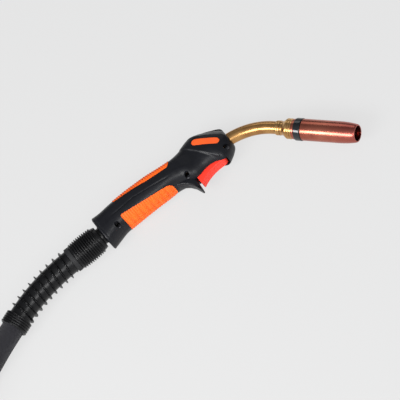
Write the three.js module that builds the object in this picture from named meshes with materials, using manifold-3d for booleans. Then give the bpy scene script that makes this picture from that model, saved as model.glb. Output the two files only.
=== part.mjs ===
// MIG welding torch: pistol handle with trigger, swan neck and gas nozzle, a knuckle joint and
// bend relief at the rear, and a sheathed cable wound into a coil with its machine plug on top.
//
// Units are millimetres. The torch lies on its left side. +X runs along the handle from the cable
// to the nozzle, +Y towards the handle's back (away from the trigger), +Z up from the floor.
// Inside the torch group the handle's rear plane is x = 0 and its parting plane is z = 0.
import * as THREE from 'three';
import { mergeVertices } from 'three/addons/utils/BufferGeometryUtils.js';
import Module from 'manifold-3d';

const wasm = await Module();
wasm.setup();

// ---------------------------------------------------------------- driving dimensions
const GAP = 0.3; // clearance between pieces that touch
const RUNNING_GAP = 0.6; // clearance where faceted round pieces turn in each other
const ROUND = 16; // facets round a large turned piece
const SMALL_ROUND = 8; // facets round a small one
const WIDE = 60; // reaches past the handle on every side

const HANDLE_LENGTH = 190;
const HANDLE_WALL = 3.2;
const HALF_WIDTH = 19.4; // before the side flats are taken off
const SIDE_FLAT = 19; // the handle lies on this flat
const SECTION_POWER = 2.4; // superellipse exponent of the grip
const REST_X = 100; // the row's origin, measured from the handle's rear plane

const PAD_DEPTH = 1.5;
const PAD_PROUD = 0.6;
const LABEL_LENGTH = 35;
const LABEL_WIDTH = 8.6;
const LABEL_ANGLE = THREE.MathUtils.degToRad(-39);
const LABEL_DEPTH = 1.4;
const LABEL_SINK = 0.2;

const SCREW_HEAD_R = 3;
const SCREW_SHANK_R = 1.5;
const SCREW_HEAD_Z = 7;
const SCREW_HEAD_HEIGHT = 2.6;
const SCREW_SOCKET_R = 1.3;
const SCREW_TIP_Z = -10;
const BOSS_R = 4;

const TUBE_R = 7.75;
const TUBE_BORE_R = 5;
const NECK_RADIUS = 84;
const NECK_TURN = THREE.MathUtils.degToRad(-44);
const NECK_SLOPE = THREE.MathUtils.degToRad(-6); // the tube's heading inside the handle
const NECK_SEAT = new THREE.Vector3(HANDLE_LENGTH - 6.2, -8.55, 0); // where the bend starts
const NECK_STRAIGHT = 10.3;
const NECK_INSIDE = 50; // straight tube behind the bend
const NECK_STEPS = 10; // facets along the tube
const TUBE_SIDES = 12;

const TRIGGER_WIDTH = 13;
const TRIGGER_WALL = 1.8;
const TRIGGER_PIVOT = new THREE.Vector3(HANDLE_LENGTH - 21.5, -26.5, 0);
const PIVOT_PIN_R = 1.85;
const PIVOT_PIN_LENGTH = 25;
const PIVOT_LUG_R = 4.4;
const SLOT_CLEARANCE = 0.5;
const SWITCH_HALF_WIDTH = 3.2;
const SWITCH_POST_R = 1.9;
const SWITCH_POST_Y = -17.6;

const BALL_X = 8; // the knuckle's centre, inside the handle's mouth
const BALL_R = 15.5;
const SKIRT_FRONT = -3.8; // leaves the ball room to tilt before its skirt meets the handle
const INNER_CABLE_R = 7.5;
const INNER_BORE_R = 2.2;
const SLEEVE_R = 12;
const BARREL_R = 16.6;
const BARREL_RIB_R = 18.4;
const BARREL_RIBS = 11;
const BARREL_FRONT = -9;
const BARREL_LENGTH = 34;
const BAND_R = 16.2;
const BAND_LENGTH = 12;

const RELIEF_SIDES = 12;
const RELIEF_R = 14.2;
const RELIEF_BORE_R = 9;
const RELIEF_RING_R = 17.7;
const RELIEF_RINGS = 9;
const RELIEF_BEND_R = 230;
const RELIEF_TURN = THREE.MathUtils.degToRad(21.5);
const END_RING_R = 17.3;
const END_RING_LENGTH = 15;
const END_RING_RIBS = 4;

const CABLE_R = 14;
const CABLE_SIDES = 10;
const COIL_CENTRE = [-454, 62];
const COIL_OUTER_R = 168;
const COIL_INNER_R = 112;
const COIL_HEIGHT = 56.5;

const NOZZLE_R = 13.2;
const NOZZLE_TIP_R = 10.9;
const NOZZLE_BORE_R = 11;
const NOZZLE_MOUTH_R = 9;
const NOZZLE_START = 29.6;
const NOZZLE_END = 100.8;
const NOZZLE_TAPER = 24;
const TIP_R = 5;
const TIP_RECESS = 7.8;
const WIRE_BORE_R = 0.8;

const PLUG_HEADING = THREE.MathUtils.degToRad(-101.3);
const PLUG_NUT_R = 25;
const PLUG_START = [-363.1, 32.5, COIL_HEIGHT + GAP + PLUG_NUT_R]; // where the cable enters it

// ---------------------------------------------------------------- colours
const PLASTIC = { color: 0x26272b, roughness: 0.55, metalness: 0 };
const RUBBER = { color: 0x1c1d20, roughness: 0.8, metalness: 0 };
const ORANGE = { color: 0xff6a20, roughness: 0.6, metalness: 0 };
const RED = { color: 0xff4632, roughness: 0.5, metalness: 0 };
const BRASS = { color: 0xb08a4a, roughness: 0.3, metalness: 1 };
const COPPER = { color: 0xb4573c, roughness: 0.3, metalness: 1 };
const STEEL = { color: 0x9a9da2, roughness: 0.35, metalness: 1 };
const SHEATH = { color: 0x343338, roughness: 0.9, metalness: 0 };
const CERAMIC = { color: 0xe6e0d2, roughness: 0.6, metalness: 0 };
const LEAD = { color: 0xb03028, roughness: 0.6, metalness: 0 };

// ---------------------------------------------------------------- solids and shapes
function solid(geometry) {
  const bare = geometry.index ? geometry.toNonIndexed() : geometry.clone();
  bare.deleteAttribute('normal');
  bare.deleteAttribute('uv');
  const merged = mergeVertices(bare, 1e-4);
  const mesh = new wasm.Mesh({
    numProp: 3,
    vertProperties: new Float32Array(merged.attributes.position.array),
    triVerts: new Uint32Array(merged.index.array),
  });
  return new wasm.Manifold(mesh);
}

function geometryOf(body) {
  const mesh = body.getMesh();
  const geometry = new THREE.BufferGeometry();
  geometry.setAttribute('position', new THREE.BufferAttribute(mesh.vertProperties, 3));
  geometry.setIndex(new THREE.BufferAttribute(mesh.triVerts, 1));
  geometry.computeVertexNormals();
  return geometry;
}

function joined(bodies) {
  return bodies.reduce((sum, body) => sum.add(body));
}

function cut(body, tools) {
  return tools.reduce((rest, tool) => rest.subtract(tool), body);
}

/** A box between two corners. */
function block(low, high) {
  const size = high.map((v, i) => v - low[i]);
  const geometry = new THREE.BoxGeometry(...size);
  geometry.translate(...low.map((v, i) => v + size[i] / 2));
  return solid(geometry);
}

/** A piece turned about the X axis, from a profile of [x, radius] points. */
function turned(profile, sides = ROUND) {
  const points = profile.map(([x, r]) => new THREE.Vector2(r, x));
  const closes = points.some((p) => p.x > 0 && points[0].x > 0);
  if (closes) points.push(points[0].clone());
  if (THREE.ShapeUtils.area(points) < 0) points.reverse();
  const geometry = new THREE.LatheGeometry(points, sides);
  geometry.rotateZ(-Math.PI / 2);
  return solid(geometry);
}

/** A solid round bar along X. */
function bar(from, to, r, sides = SMALL_ROUND) {
  return turned([[from, 0], [from, r], [to, r], [to, 0]], sides);
}

/** A ring along X. */
function ring(from, to, bore, r, sides = ROUND) {
  return turned([[from, bore], [from, r], [to, r], [to, bore]], sides);
}

/** A round bar along Z through (x, y). */
function pinAt(x, y, fromZ, toZ, r, sides = SMALL_ROUND) {
  const geometry = new THREE.CylinderGeometry(r, r, toZ - fromZ, sides);
  geometry.rotateX(Math.PI / 2);
  geometry.translate(x, y, (fromZ + toZ) / 2);
  return solid(geometry);
}

/** A prism with a side-view outline, thickness about the parting plane. */
function plate(outline, halfThickness, bevel = 0) {
  const shape = new THREE.Shape(outline.map(([x, y]) => new THREE.Vector2(x, y)));
  const geometry = new THREE.ExtrudeGeometry(shape, {
    depth: 2 * (halfThickness - bevel),
    bevelEnabled: bevel > 0,
    bevelThickness: bevel,
    bevelSize: bevel,
    bevelOffset: -bevel,
    bevelSegments: 1,
    steps: 1,
  });
  geometry.translate(0, 0, bevel - halfThickness);
  return solid(geometry);
}

function circle(r, sides) {
  return Array.from({ length: sides }, (_, i) => {
    const a = ((i + 0.5) / sides) * 2 * Math.PI;
    return new THREE.Vector2(r * Math.cos(a), r * Math.sin(a));
  });
}

/** A round section carried along a curve, hollow when it has a bore. */
function swept(curve, r, steps, bore = 0, sides = SMALL_ROUND) {
  const shape = new THREE.Shape(circle(r, sides));
  if (bore > 0) shape.holes.push(new THREE.Path(circle(bore, sides)));
  return solid(new THREE.ExtrudeGeometry(shape, { steps, extrudePath: curve, bevelEnabled: false }));
}

function moved(body, matrix) {
  const geometry = geometryOf(body);
  geometry.applyMatrix4(matrix);
  return solid(geometry);
}

/** Carries a piece made along X onto a line, so that its own X becomes the distance along it. */
function bent(body, line) {
  const geometry = geometryOf(body);
  const { position } = geometry.attributes;
  const point = new THREE.Vector3();
  for (let i = 0; i < position.count; i += 1) {
    const across = new THREE.Vector3(0, position.getY(i), position.getZ(i));
    point.copy(across).applyMatrix4(line.frameAt(position.getX(i)));
    position.setXYZ(i, point.x, point.y, point.z);
  }
  return solid(geometry);
}

/** A line in the XY plane: a straight lead, one circular bend and a straight tail. */
class BentLine extends THREE.Curve {
  constructor({ start, heading, lead = 0, radius, turn, tail = 0 }) {
    super();
    Object.assign(this, { start, heading, lead, tail });
    this.curvature = Math.sign(turn) / radius;
    this.arc = radius * Math.abs(turn);
    this.total = lead + this.arc + tail;
  }

  at(distance) {
    const bent = THREE.MathUtils.clamp(distance - this.lead, 0, this.arc);
    const angle = this.heading + this.curvature * bent;
    const before = Math.min(distance, this.lead);
    const after = Math.max(distance - this.lead - this.arc, 0);
    const x = Math.cos(this.heading) * before + Math.cos(angle) * after;
    const y = Math.sin(this.heading) * before + Math.sin(angle) * after;
    const bendX = (Math.sin(angle) - Math.sin(this.heading)) / this.curvature;
    const bendY = (Math.cos(this.heading) - Math.cos(angle)) / this.curvature;
    const point = new THREE.Vector3(x + bendX, y + bendY, 0).add(this.start);
    return { point, angle };
  }

  frameAt(distance) {
    const { point, angle } = this.at(distance);
    return new THREE.Matrix4().makeRotationZ(angle).setPosition(point);
  }

  getPoint(t, target = new THREE.Vector3()) {
    return target.copy(this.at(t * this.total).point);
  }
}

// ---------------------------------------------------------------- the handle's outer form
/** Stations along the handle: x, crest height, belly height, half width. */
const HEAD = (back) => HANDLE_LENGTH - back;
const GRIP_END = HEAD(106);
const GRIP_START = 26;
const gripAt = (share) => GRIP_START + share * (GRIP_END - GRIP_START);
const STATIONS = [
  [0, 24.2, -23, HALF_WIDTH],
  [12, 22.8, -18.8, HALF_WIDTH],
  [GRIP_START, 23.5, -15.1, HALF_WIDTH],
  [gripAt(0.41), 23.7, -14.6, HALF_WIDTH],
  [gripAt(0.83), 22.2, -15, HALF_WIDTH],
  [GRIP_END, 21.2, -15.6, HALF_WIDTH],
  [HEAD(87), 17.9, -16.4, HALF_WIDTH],
  [HEAD(72), 16.6, -21, HALF_WIDTH],
  [HEAD(60), 18.6, -28.6, HALF_WIDTH],
  [HEAD(42), 24, -26.6, HALF_WIDTH],
  [HEAD(30), 25.4, -28.6, HALF_WIDTH],
  [HEAD(20), 22.4, -34, HALF_WIDTH - 0.9],
  [HEAD(10), 16.9, -29.4, HALF_WIDTH - 2.8],
  [HEAD(4), 13.2, -24.6, HALF_WIDTH - 4.8],
  [HEAD(0), 9.8, -20.4, HALF_WIDTH - 7],
];

/** Cubic through the stations, so the handle's sides have no kinks. */
function sectionAt(x) {
  const last = STATIONS.length - 1;
  const found = STATIONS.findIndex((s, i) => i < last && x <= STATIONS[i + 1][0]);
  const i = found < 0 ? last - 1 : found;
  const [a, b] = [STATIONS[i], STATIONS[i + 1]];
  const [before, after] = [STATIONS[Math.max(i - 1, 0)], STATIONS[Math.min(i + 2, last)]];
  const span = b[0] - a[0];
  const t = THREE.MathUtils.clamp((x - a[0]) / span, 0, 1);
  return [1, 2, 3].map((k) => {
    const slopeA = (b[k] - before[k]) / (b[0] - before[0]);
    const slopeB = (after[k] - a[k]) / (after[0] - a[0]);
    const [t2, t3] = [t * t, t * t * t];
    return (
      a[k] * (2 * t3 - 3 * t2 + 1) +
      slopeA * span * (t3 - 2 * t2 + t) +
      b[k] * (3 * t2 - 2 * t3) +
      slopeB * span * (t3 - t2)
    );
  });
}

const OUTER_FACETS = { sides: 24, step: 14 };
const INNER_FACETS = { sides: 14, step: 24 };
const power = (v, p) => Math.sign(v) * Math.abs(v) ** p;

/** The handle's outer form, or one set in from it, between two planes across the handle. */
function handleForm(inset, from, to, facets = OUTER_FACETS) {
  const inner = STATIONS.map((s) => s[0]).filter((x) => x > from + 1 && x < to - 1);
  const stops = [from, ...inner, to];
  const rings = stops.flatMap((x, i) => {
    if (i === 0) return [x];
    const parts = Math.max(1, Math.round((x - stops[i - 1]) / facets.step));
    const share = (k) => (k + 1) / parts;
    return Array.from({ length: parts }, (_, k) => THREE.MathUtils.lerp(stops[i - 1], x, share(k)));
  });
  const position = [];
  rings.forEach((x) => {
    const [crest, belly, half] = sectionAt(x);
    const middle = (crest + belly) / 2;
    const tall = (crest - belly) / 2 - inset;
    const wide = half - inset;
    for (let k = 0; k < facets.sides; k += 1) {
      const a = ((k + 0.5) / facets.sides) * 2 * Math.PI;
      const y = middle + tall * power(Math.cos(a), 2 / SECTION_POWER);
      const z = wide * power(Math.sin(a), 2 / SECTION_POWER);
      const flat = SIDE_FLAT - Math.max(inset, 0);
      position.push(x, y, THREE.MathUtils.clamp(z, -flat, flat));
    }
  });
  const index = [];
  const at = (row, k) => row * facets.sides + (k % facets.sides);
  for (let row = 0; row < rings.length - 1; row += 1) {
    for (let k = 0; k < facets.sides; k += 1) {
      index.push(at(row, k), at(row, k + 1), at(row + 1, k));
      index.push(at(row, k + 1), at(row + 1, k + 1), at(row + 1, k));
    }
  }
  for (let k = 1; k < facets.sides - 1; k += 1) {
    index.push(at(0, 0), at(0, k + 1), at(0, k));
    index.push(at(rings.length - 1, 0), at(rings.length - 1, k), at(rings.length - 1, k + 1));
  }
  const geometry = new THREE.BufferGeometry();
  geometry.setAttribute('position', new THREE.Float32BufferAttribute(position, 3));
  geometry.setIndex(index);
  return solid(geometry);
}

// ---------------------------------------------------------------- routes
const neckLine = new BentLine({
  start: new THREE.Vector3(
    NECK_SEAT.x - NECK_INSIDE * Math.cos(NECK_SLOPE),
    NECK_SEAT.y - NECK_INSIDE * Math.sin(NECK_SLOPE),
    0,
  ),
  heading: NECK_SLOPE,
  lead: NECK_INSIDE,
  radius: NECK_RADIUS,
  turn: NECK_TURN,
  tail: NECK_STRAIGHT,
});
const neckEnd = neckLine.frameAt(neckLine.total);
const neckStart = neckLine.frameAt(0);

const BAND_REAR = BARREL_FRONT - BARREL_LENGTH - GAP - BAND_LENGTH;
const reliefLine = new BentLine({
  start: new THREE.Vector3(BAND_REAR - GAP, 0, 0),
  heading: Math.PI,
  radius: RELIEF_BEND_R,
  turn: RELIEF_TURN,
  tail: END_RING_LENGTH + 2 * GAP,
});
const ringStart = reliefLine.arc + GAP;

const MIDDLE_SCREW = [HEAD(66.4), -20];
const FRONT_SCREW = [HEAD(9), -23];
const REAR_SCREW = [21.5, -11.5];
const SCREWS = { front: FRONT_SCREW, middle: MIDDLE_SCREW, rear: REAR_SCREW };

const TERMINAL_LENGTH = 36;
const CABLE_SEAT = -22; // where the cable stops inside the terminal
const HANDLE_CABLE_STEPS = 10;
const handleCableRoute = new THREE.CatmullRomCurve3([
  new THREE.Vector3(CABLE_SEAT - GAP, 0, 0).applyMatrix4(neckStart),
  new THREE.Vector3(HEAD(98), 1.2, 0),
  new THREE.Vector3(HEAD(120), 1.6, 0),
  new THREE.Vector3(gripAt(0.35), 0.6, 0),
  new THREE.Vector3(GRIP_START + 4, 0, 0),
  new THREE.Vector3(BALL_X + 1.5, 0, 0),
]);

// ---------------------------------------------------------------- handle shells
const SPUR = [
  [HEAD(90), -8], [HEAD(84), -17], [HEAD(78), -20.5], [HEAD(73), -25.5], [HEAD(68.5), -33],
  [HEAD(65.6), -42.6], [HEAD(64.3), -44.8], [HEAD(62.9), -43.6], [HEAD(62.1), -36],
  [HEAD(61.8), -28], [HEAD(61.8), -12],
];
const SPUR_HALF_WIDTH = 6.5;
const SLOT_REAR = HEAD(60.6);
const SLOT_FRONT = HEAD(16.4);

const LOWER_PAD = [
  [30.5, -6.2], [HEAD(91), -14.2], [HEAD(88.5), -15], [HEAD(87), -18.5], [HEAD(87), -40],
  [31.5, -40],
];
const BACK_PAD = [
  [35, 17], [gripAt(0.62), 12], [HEAD(108.5), 7.5], [HEAD(79), 3.8], [HEAD(74.5), 9],
  [HEAD(73), 30], [33, 30],
];

const LABEL_CENTRE = [HEAD(24.5), -2];

function pill(length, width) {
  const r = width / 2;
  const half = length / 2 - r;
  const points = [];
  for (let k = 0; k <= 6; k += 1) {
    const a = -Math.PI / 2 + (k / 6) * Math.PI;
    points.push([half + r * Math.cos(a), r * Math.sin(a)]);
  }
  for (let k = 0; k <= 6; k += 1) {
    const a = Math.PI / 2 + (k / 6) * Math.PI;
    points.push([-half + r * Math.cos(a), r * Math.sin(a)]);
  }
  const [c, s] = [Math.cos(LABEL_ANGLE), Math.sin(LABEL_ANGLE)];
  return points.map(([x, y]) => [LABEL_CENTRE[0] + c * x - s * y, LABEL_CENTRE[1] + s * x + c * y]);
}

const CORNER_REACH = 1.6; // a corner moves further than the edges beside it

/** Grows an outline away from its own middle by about the amount given. */
function grown(outline, by) {
  const mid = [0, 1].map((k) => outline.reduce((sum, p) => sum + p[k], 0) / outline.length);
  return outline.map(([x, y]) => {
    const step = (by * CORNER_REACH) / Math.hypot(x - mid[0], y - mid[1]);
    return [x + (x - mid[0]) * step, y + (y - mid[1]) * step];
  });
}

const RIBS = [34, 62]; // two ribs in the grip, each this far from the rear plane
const RIB_THICK = 2.5;
const BALL_GUIDES = [[-7, -4], [2, 5.6]]; // ribs that carry the ball, from its centre
const SLOT_TOP = -17;

function handleCavity() {
  const hollow = handleForm(HANDLE_WALL, -1, HANDLE_LENGTH - HANDLE_WALL, INNER_FACETS);
  const slab = (from, to) => block([from, -WIDE, -WIDE], [to, WIDE, WIDE]);
  const ribs = joined([
    ...BALL_GUIDES.map(([from, to]) => slab(BALL_X + from, BALL_X + to)),
    ...RIBS.map((from) => slab(from, from + RIB_THICK)),
    block([HEAD(14), SLOT_TOP + 1, -WIDE], [HEAD(10), WIDE, WIDE]),
  ]);
  const bosses = Object.values(SCREWS).map(([x, y]) => pinAt(x, y, -WIDE, WIDE, BOSS_R));
  const { x, y } = TRIGGER_PIVOT;
  const lugGap = TRIGGER_WIDTH / 2 + SLOT_CLEARANCE;
  const lugs = [pinAt(x, y, lugGap, WIDE, PIVOT_LUG_R), pinAt(x, y, -WIDE, -lugGap, PIVOT_LUG_R)];
  const postGap = SWITCH_HALF_WIDTH + GAP;
  const posts = [HEAD(45), HEAD(33)].flatMap((postX) => [
    pinAt(postX, SWITCH_POST_Y, postGap, WIDE, SWITCH_POST_R),
    pinAt(postX, SWITCH_POST_Y, -WIDE, -postGap, SWITCH_POST_R),
  ]);
  const socket = new THREE.SphereGeometry(BALL_R + RUNNING_GAP, ROUND, 12);
  const ball = solid(socket.translate(BALL_X, 0, 0));
  return cut(hollow, [ribs, ...bosses, ...lugs, ...posts]).add(ball);
}

const SIDES = {
  right: block([-WIDE, -WIDE, GAP / 2], [HANDLE_LENGTH + WIDE, WIDE, WIDE]),
  left: block([-WIDE, -WIDE, -WIDE], [HANDLE_LENGTH + WIDE, WIDE, -GAP / 2]),
};

function handleShells() {
  const outer = handleForm(0, 0, HANDLE_LENGTH).add(plate(SPUR, SPUR_HALF_WIDTH));
  const half = TRIGGER_WIDTH / 2 + SLOT_CLEARANCE;
  const padSkin = handleForm(PAD_DEPTH + GAP, 0, HANDLE_LENGTH);
  const labelSkin = handleForm(LABEL_DEPTH + GAP, 0, HANDLE_LENGTH);
  const pinEnd = PIVOT_PIN_LENGTH / 2 + GAP;
  const outside = (form, outline) => plate(outline, WIDE).subtract(form);
  const screws = Object.values(SCREWS).flatMap(([x, y]) => [
    pinAt(x, y, SCREW_TIP_Z - GAP, SCREW_HEAD_Z, SCREW_SHANK_R + GAP),
    pinAt(x, y, SCREW_HEAD_Z - GAP, WIDE, SCREW_HEAD_R + GAP),
  ]);
  const shell = cut(outer, [
    handleCavity(),
    block([SLOT_REAR, -WIDE, -half], [SLOT_FRONT, SLOT_TOP, half]),
    outside(padSkin, grown(LOWER_PAD, GAP)),
    outside(padSkin, grown(BACK_PAD, GAP)),
    outside(labelSkin, pill(LABEL_LENGTH + 2 * GAP, LABEL_WIDTH + 2 * GAP)),
    swept(neckLine, TUBE_R + GAP, NECK_STEPS, 0, TUBE_SIDES),
    swept(handleCableRoute, INNER_CABLE_R + GAP, HANDLE_CABLE_STEPS),
    pinAt(TRIGGER_PIVOT.x, TRIGGER_PIVOT.y, -pinEnd, pinEnd, PIVOT_PIN_R + GAP),
    ...screws,
  ]);
  return {
    handle_shell_right: shell.intersect(SIDES.right),
    handle_shell_left: shell.intersect(SIDES.left),
  };
}

function inlays() {
  const skin = (proud, deep) =>
    handleForm(-proud, 0, HANDLE_LENGTH).subtract(handleForm(deep, 0, HANDLE_LENGTH));
  const inlay = (layer, outline, side) => layer.intersect(plate(outline, WIDE)).intersect(SIDES[side]);
  const pad = skin(PAD_PROUD, PAD_DEPTH);
  const label = skin(-LABEL_SINK, LABEL_DEPTH);
  const pieces = {};
  Object.keys(SIDES).forEach((side) => {
    pieces[`grip_pad_lower_${side}`] = inlay(pad, LOWER_PAD, side);
    pieces[`grip_pad_back_${side}`] = inlay(pad, BACK_PAD, side);
    pieces[`label_plate_${side}`] = inlay(label, pill(LABEL_LENGTH, LABEL_WIDTH), side);
  });
  return pieces;
}

function handleScrew(x, y) {
  const top = SCREW_HEAD_Z + SCREW_HEAD_HEIGHT;
  const head = pinAt(x, y, SCREW_HEAD_Z, top, SCREW_HEAD_R);
  const shank = pinAt(x, y, SCREW_TIP_Z, SCREW_HEAD_Z + GAP, SCREW_SHANK_R);
  const socket = pinAt(x, y, SCREW_HEAD_Z + 1, top + 1, SCREW_SOCKET_R, 6);
  return head.add(shank).subtract(socket);
}

// ---------------------------------------------------------------- trigger and switch
const SWITCH_FRONT = HEAD(29);
const SWITCH_REAR = HEAD(48.5);
const SWITCH_TOP = -15.9;
const SWITCH_BOTTOM = -26.7;
const PLUNGER_X = HEAD(33);
const PLUNGER_TIP = -28.6;
const PLUNGER_R = 1.2;

// A switch lead's route: the distance behind the switch, the height and the offset to its side.
const LEAD_ROUTE = [
  [2 * GAP, -18.6, 1.9], [3, -18.4, 2.4], [7, -16.6, 5.6], [13, -13.6, 8.6], [23, -11, 9.2],
  [37, -8.4, 8.8], [46, -5.6, 8.2], [55, -3.4, 7.9],
];
const LEAD_R = 1.1;
const LEAD_STEPS = 12;

function trigger() {
  const outline = [
    [HEAD(59.4), -24.5], [HEAD(59.4), -37], [HEAD(58.6), -38], [HEAD(57.6), -37.6],
    [HEAD(54), -35.6], [HEAD(49), -33.6], [HEAD(44), -32.2], [HEAD(39), -31.3], [HEAD(33), -30.8],
    [HEAD(27), -31], [HEAD(21.5), -31.3], [HEAD(18.2), -29.4], [HEAD(17.2), -26.5],
    [HEAD(18.4), -23.6], [HEAD(21.5), -22.3],
  ];
  const hollow = [
    [HEAD(57.6), -15], [HEAD(57.6), -35.6], [HEAD(54), -33.7], [HEAD(49), -31.7], [HEAD(44), -30.3],
    [HEAD(39), -29.4], [HEAD(33), -28.9], [HEAD(28.6), -28.9], [HEAD(28.6), -15],
  ];
  const body = plate(outline, TRIGGER_WIDTH / 2, 0.8);
  const channel = plate(hollow, TRIGGER_WIDTH / 2 - TRIGGER_WALL);
  const eye = pinAt(TRIGGER_PIVOT.x, TRIGGER_PIVOT.y, -WIDE, WIDE, PIVOT_PIN_R + GAP);
  return cut(body, [channel, eye]);
}

function switchPieces() {
  const body = block(
    [SWITCH_REAR, SWITCH_BOTTOM, -SWITCH_HALF_WIDTH],
    [SWITCH_FRONT, SWITCH_TOP, SWITCH_HALF_WIDTH],
  );
  const along = new THREE.Matrix4().makeRotationZ(Math.PI / 2).setPosition(PLUNGER_X, 0, 0);
  const well = moved(bar(SWITCH_BOTTOM - 1, SWITCH_BOTTOM + 6, PLUNGER_R + GAP), along);
  const plunger = moved(bar(PLUNGER_TIP, SWITCH_BOTTOM + 4, PLUNGER_R), along);
  const lead = (side) => {
    const points = LEAD_ROUTE.map(([back, y, z]) => new THREE.Vector3(SWITCH_REAR - back, y, side * z));
    return swept(new THREE.CatmullRomCurve3(points), LEAD_R, LEAD_STEPS);
  };
  return {
    microswitch_body: body.subtract(well),
    switch_plunger: plunger,
    trigger_lead_right: lead(1),
    trigger_lead_left: lead(-1),
  };
}

// ---------------------------------------------------------------- neck and its fittings
function neckInside() {
  const inside = handleForm(HANDLE_WALL + GAP, -1, HANDLE_LENGTH - HANDLE_WALL, INNER_FACETS);
  const clamp = moved(block([18, -9, -WIDE], [35, 9, WIDE]), neckStart).intersect(inside);
  const tubeSpace = swept(neckLine, TUBE_R + GAP, NECK_STEPS, 0, TUBE_SIDES);
  const nut = bar(-11, 9, 11, 6).subtract(bar(-12, 10, TUBE_R + GAP, TUBE_SIDES));
  const terminal = turned([
    [-TERMINAL_LENGTH, 9], [-TERMINAL_LENGTH, INNER_CABLE_R + GAP], [CABLE_SEAT, INNER_CABLE_R + GAP],
    [CABLE_SEAT, 2.5], [-GAP, 2.5], [-GAP, TUBE_R], [-11.4, TUBE_R], [-11.4, 9.6], [-16, 9.6], [-16, 9],
  ]);
  const liner = swept(neckLine, 2.9, NECK_STEPS, 1.6, 8);
  return {
    swan_neck_tube: swept(neckLine, TUBE_R, NECK_STEPS, TUBE_BORE_R, TUBE_SIDES),
    neck_clamp_block: clamp.subtract(tubeSpace),
    neck_nut: moved(nut, neckStart),
    cable_terminal: moved(terminal, neckStart),
    neck_liner: liner,
    handle_cable: swept(handleCableRoute, INNER_CABLE_R, HANDLE_CABLE_STEPS, INNER_BORE_R),
  };
}

const STUB_R = 9; // the head's nose, which carries the seat ring and the insulator
const COLLAR_START = -6; // how far the collar reaches back over the tube

function nozzleLinePieces() {
  const head = turned([
    [GAP, TUBE_BORE_R + 1], [GAP, TUBE_R + 0.9], [3.8, TUBE_R + 0.9], [9, 12.5], [10.6, 12.5], [11, 11.7],
    [12, 11.7], [12.4, 12.5], [14.2, 12.5], [14.6, 11.4], [16.5, 11.4], [16.5, STUB_R], [33, STUB_R],
    [33, 6.3], [22, 6.3], [22, TUBE_BORE_R + 1],
  ]);
  const collar = ring(COLLAR_START, 0, TUBE_R + GAP, TUBE_R + 1.25);
  const seat = ring(16.8, 20.3, STUB_R + GAP, 12.4);
  const insulator = turned([
    [20.6, STUB_R + GAP], [20.6, 13.4], [21.4, 13.8], [28.5, 13.8], [29.3, 13.4], [29.3, NOZZLE_BORE_R - GAP],
    [38, NOZZLE_BORE_R - GAP], [38, STUB_R + GAP],
  ]);
  const holder = turned([
    [22.3, 2.6], [22.3, 6], [33.4, 6], [33.4, 7], [38.4, 7], [38.4, 5.4], [62, 5.4], [62, 3.2], [52, 3.2],
    [52, 2.6],
  ]);
  const diffuser = ring(38.7, 54, 5.4 + GAP, 8.6, TUBE_SIDES);
  const tip = turned([
    [52.3, WIRE_BORE_R], [52.3, 2.9], [62.3, 2.9], [62.3, TIP_R], [NOZZLE_END - TIP_RECESS - 5, TIP_R],
    [NOZZLE_END - TIP_RECESS, 3.4], [NOZZLE_END - TIP_RECESS, WIRE_BORE_R],
  ], TUBE_SIDES);
  const nozzle = turned([
    [NOZZLE_START, NOZZLE_BORE_R], [NOZZLE_START, NOZZLE_R], [NOZZLE_END - NOZZLE_TAPER, NOZZLE_R],
    [NOZZLE_END - NOZZLE_TAPER / 2, NOZZLE_R - 0.6], [NOZZLE_END - 0.8, NOZZLE_TIP_R],
    [NOZZLE_END, NOZZLE_TIP_R - 0.8], [NOZZLE_END, NOZZLE_MOUTH_R],
    [NOZZLE_END - NOZZLE_TAPER, NOZZLE_BORE_R],
  ]);
  return {
    neck_collar: collar,
    neck_head: head,
    nozzle_seat_ring: seat,
    nozzle_insulator: insulator,
    tip_holder: holder,
    gas_diffuser: diffuser,
    contact_tip: tip,
    gas_nozzle: nozzle,
  };
}

// ---------------------------------------------------------------- knuckle, bend relief and cable
function knuckleStub() {
  const profile = [];
  for (const dx of [5.5, 3.5, 1, -1.5, -4, -6.2]) {
    profile.push([BALL_X + dx, Math.sqrt(BALL_R ** 2 - dx ** 2)]);
  }
  const bore = INNER_CABLE_R + GAP;
  return turned([
    ...profile, [BALL_X - 7.6, 11], [SKIRT_FRONT, 11], [SKIRT_FRONT, 14.4], [SKIRT_FRONT - 2, 15],
    [BARREL_FRONT + 0.9, 15.5],
    [BARREL_FRONT + GAP, 15.5], [BARREL_FRONT + GAP, SLEEVE_R], [BAND_REAR + 6, SLEEVE_R],
    [BAND_REAR + 6, bore], [BALL_X, bore], [BALL_X + 5.5, 9.7],
  ]);
}

function ribbedBarrel() {
  const bore = SLEEVE_R + GAP;
  const rear = BARREL_FRONT - BARREL_LENGTH;
  const pitch = BARREL_LENGTH / (BARREL_RIBS + 0.5);
  const profile = [[BARREL_FRONT, bore], [BARREL_FRONT, BARREL_R]];
  for (let k = 0; k < BARREL_RIBS; k += 1) {
    const x = BARREL_FRONT - (k + 0.5) * pitch;
    profile.push([x, BARREL_R], [x - 0.5 * pitch, BARREL_RIB_R]);
  }
  return turned([...profile, [rear, BARREL_R], [rear, bore]]);
}

function bendRelief() {
  const pitch = reliefLine.arc / (RELIEF_RINGS + 0.25);
  const outer = [[-6, SLEEVE_R], [-GAP, SLEEVE_R], [-GAP, RELIEF_R]];
  const bore = [];
  for (let k = 0; k < RELIEF_RINGS; k += 1) {
    const x = (k + 0.62) * pitch;
    outer.push([x - 1.5, RELIEF_R], [x - 0.9, RELIEF_RING_R]);
    outer.push([x + 0.9, RELIEF_RING_R], [x + 1.5, RELIEF_R]);
    bore.unshift([x, RELIEF_BORE_R]);
  }
  const { arc } = reliefLine;
  const end = [[arc, RELIEF_R], [arc, RELIEF_BORE_R]];
  return bent(turned([...outer, ...end, ...bore, [-6, RELIEF_BORE_R]], RELIEF_SIDES), reliefLine);
}

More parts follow.
